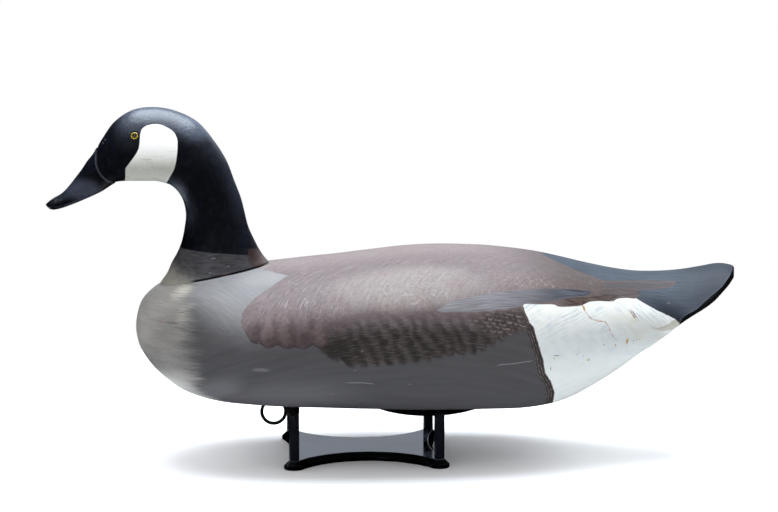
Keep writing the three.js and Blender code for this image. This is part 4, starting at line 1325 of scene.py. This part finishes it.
def sheet_outline(grow):
    """The stand's sheet from above: a round corner at each post and a hollow along each side."""
    corner = POST_DIAMETER / 2
    half_x, half_y = POST_SPACING_X / 2, POST_SPACING_Y / 2
    long_tilt = math.acos(half_x / (LONG_HOLLOW_RADIUS + corner))
    short_tilt = math.acos(half_y / (SHORT_HOLLOW_RADIUS + corner))
    long_out = half_y + (LONG_HOLLOW_RADIUS + corner) * math.sin(long_tilt)
    short_out = half_x + (SHORT_HOLLOW_RADIUS + corner) * math.sin(short_tilt)
    points = []

    def arc(x, y, radius, start, end, steps):
        for angle in np.linspace(start, end, steps, endpoint=False):
            points.append((x + radius * math.cos(angle), y + radius * math.sin(angle)))

    turn = math.pi / 2
    hollows = [(0, long_out), (-short_out, 0), (0, -long_out), (short_out, 0)]
    for number, (side_x, side_y) in enumerate([(1, 1), (-1, 1), (-1, -1), (1, -1)]):
        is_long = number % 2 == 0
        before, after = (short_tilt, long_tilt) if is_long else (long_tilt, short_tilt)
        start = number * turn - turn + before
        end = number * turn + 2 * turn - after
        arc(side_x * half_x, side_y * half_y, corner + grow, start, end, CORNER_STEPS)
        radius = (LONG_HOLLOW_RADIUS if is_long else SHORT_HOLLOW_RADIUS) - grow
        arc(*hollows[number], radius, end + 2 * turn, end + 2 * after, HOLLOW_STEPS)
    return np.array(points)


def rod_profile(diameter, low, high, edge, steps):
    """The profile of an upright rod with rounded edges."""
    angles = np.linspace(math.pi / 2, 0, steps)
    below = [*zip(diameter / 2 - edge + edge * np.cos(angles), low + edge - edge * np.sin(angles))]
    above = [(radius, low + high - height) for radius, height in reversed(below)]
    return [(PIN_RADIUS, low), *below, *above, (PIN_RADIUS, high)]


def build_stand(gloss, satin, rubber):
    lower_edge = SHEET_THICKNESS - SHEET_CHAMFER
    levels = [
        (0, SHEET_CHAMFER - 2 * SHEET_EDGE),
        (0, SHEET_CHAMFER - SHEET_EDGE),
        (SHEET_EDGE, SHEET_CHAMFER),
        (lower_edge - SHEET_EDGE * 0.4, SHEET_CHAMFER),
        (lower_edge + SHEET_EDGE, SHEET_CHAMFER - SHEET_EDGE),
        (SHEET_THICKNESS - SHEET_EDGE, SHEET_EDGE * 0.9),
        (SHEET_THICKNESS - SHEET_EDGE * 0.25, SHEET_EDGE * 0.2),
        (SHEET_THICKNESS, -SHEET_EDGE * 0.6),
        (SHEET_THICKNESS, -SHEET_EDGE * 1.2),
    ]
    rows = []
    for height, grow in levels:
        outline = sheet_outline(grow) + [STAND_X, 0]
        rows.append(np.column_stack([outline, np.full(len(outline), height)]))
    count = len(rows[0])
    faces = ring_faces(len(levels), count).tolist()
    faces += [list(range(count))[::-1], list(range((len(levels) - 1) * count, len(levels) * count))]
    split_caps(new_piece("foot_sheet", np.concatenate(rows), faces, gloss, "stand_gloss", ["stand_base"]))

    tip_top = UNDERSIDE - CONTACT_GAP
    tip_low = tip_top - TIP_HEIGHT
    post = rod_profile(POST_DIAMETER, SHEET_THICKNESS + CONTACT_GAP, tip_low - CONTACT_GAP, POST_EDGE, 2)
    tip = rod_profile(TIP_DIAMETER, tip_low, tip_top, TIP_EDGE, 6)
    for end, side_y in (("front", -1), ("rear", 1)):
        for side, side_x in (("left", -1), ("right", 1)):
            place = f"{end}_{side}"
            centre = [STAND_X + side_x * POST_SPACING_X / 2, side_y * POST_SPACING_Y / 2, 0]
            points, faces = lathe(post, POST_SIDES)
            new_piece(f"post_{place}", points + centre, faces, satin, "stand_gloss", [f"stand_post_{place}"])
            points, faces = lathe(tip, POST_SIDES)
            new_piece(f"tip_{place}", points + centre, faces, rubber, "tip_rubber", [f"post_tip_{place}"])


# Surroundings

def build_camera():
    data = bpy.data.cameras.new("camera")
    data.lens = CAMERA_LENS
    data.sensor_width = CAMERA_SENSOR
    data.sensor_fit = "HORIZONTAL"
    camera = add_object("camera", data)
    camera.location = CAMERA_PLACE
    camera.rotation_euler = (math.radians(90 - CAMERA_PITCH), 0, math.radians(CAMERA_AZIMUTH))
    bpy.context.scene.camera = camera


def build_floor():
    s = Surface("floor_paper", {"Specular IOR Level": 0.1})
    paper = s.mix(s.noise(s.place, 60), (250, 250, 253), (254, 254, 255))
    angles = 2 * math.pi * np.arange(ROUND_SIDES) / ROUND_SIDES
    mesh = bpy.data.meshes.new("floor")
    rim = [(FLOOR_RADIUS * math.cos(a), FLOOR_RADIUS * math.sin(a), 0) for a in angles]
    mesh.from_pydata(rim, [], [list(range(ROUND_SIDES))])
    mesh.materials.append(s.finish(paper, 0.9, s.noise(s.place, 3), 0.02))
    floor = add_object("floor", mesh)
    floor.visible_glossy = False


def build_light():
    """Soft panels of light that face the bird, and a plain white surrounding."""
    for name, (place, size, radiance, tint) in LIGHTS.items():
        data = bpy.data.lights.new(name, "AREA")
        data.shape = "RECTANGLE"
        data.size, data.size_y = size
        data.energy = radiance * math.pi * size[0] * size[1]
        data.color = tint
        light = add_object(name, data)
        light.location = place
        light.rotation_euler = (Vector(AIM) - Vector(place)).to_track_quat("-Z", "Y").to_euler()
        light.visible_camera = False
    world = bpy.data.worlds.new("studio")
    world.use_nodes = True
    background = world.node_tree.nodes["Background"]
    background.inputs["Color"].default_value = (1, 1, 1, 1)
    background.inputs["Strength"].default_value = 1
    world.cycles_visibility.glossy = False
    scene = bpy.context.scene
    scene.world = world
    scene.view_settings.view_transform = "Standard"
    scene.view_settings.look = "None"


build_camera()
build_body()
build_head()
build_eyes(iris_material(), glass_material())
wire = plain_material("black_wire", {"Metallic": 0.3}, (20, 18, 17), (34, 29, 26), 3, 0.4, 0.2, 0.05)
lead = plain_material("dark_lead", {"Specular IOR Level": 0.2}, (3, 3, 4), (8, 8, 8), 8, 0.6, 0.2, 0.05)
satin = plain_material("black_satin", {}, (12, 13, 19), (20, 21, 30), 12, 0.24, 0.06, 0.01)
rubber = plain_material("black_rubber", {}, (4, 4, 5), (9, 9, 11), 3, 0.4, 0.1, 0.05)
build_wires(wire)
build_weight(lead)
build_stand(gloss_material(), satin, rubber)
build_floor()
build_light()
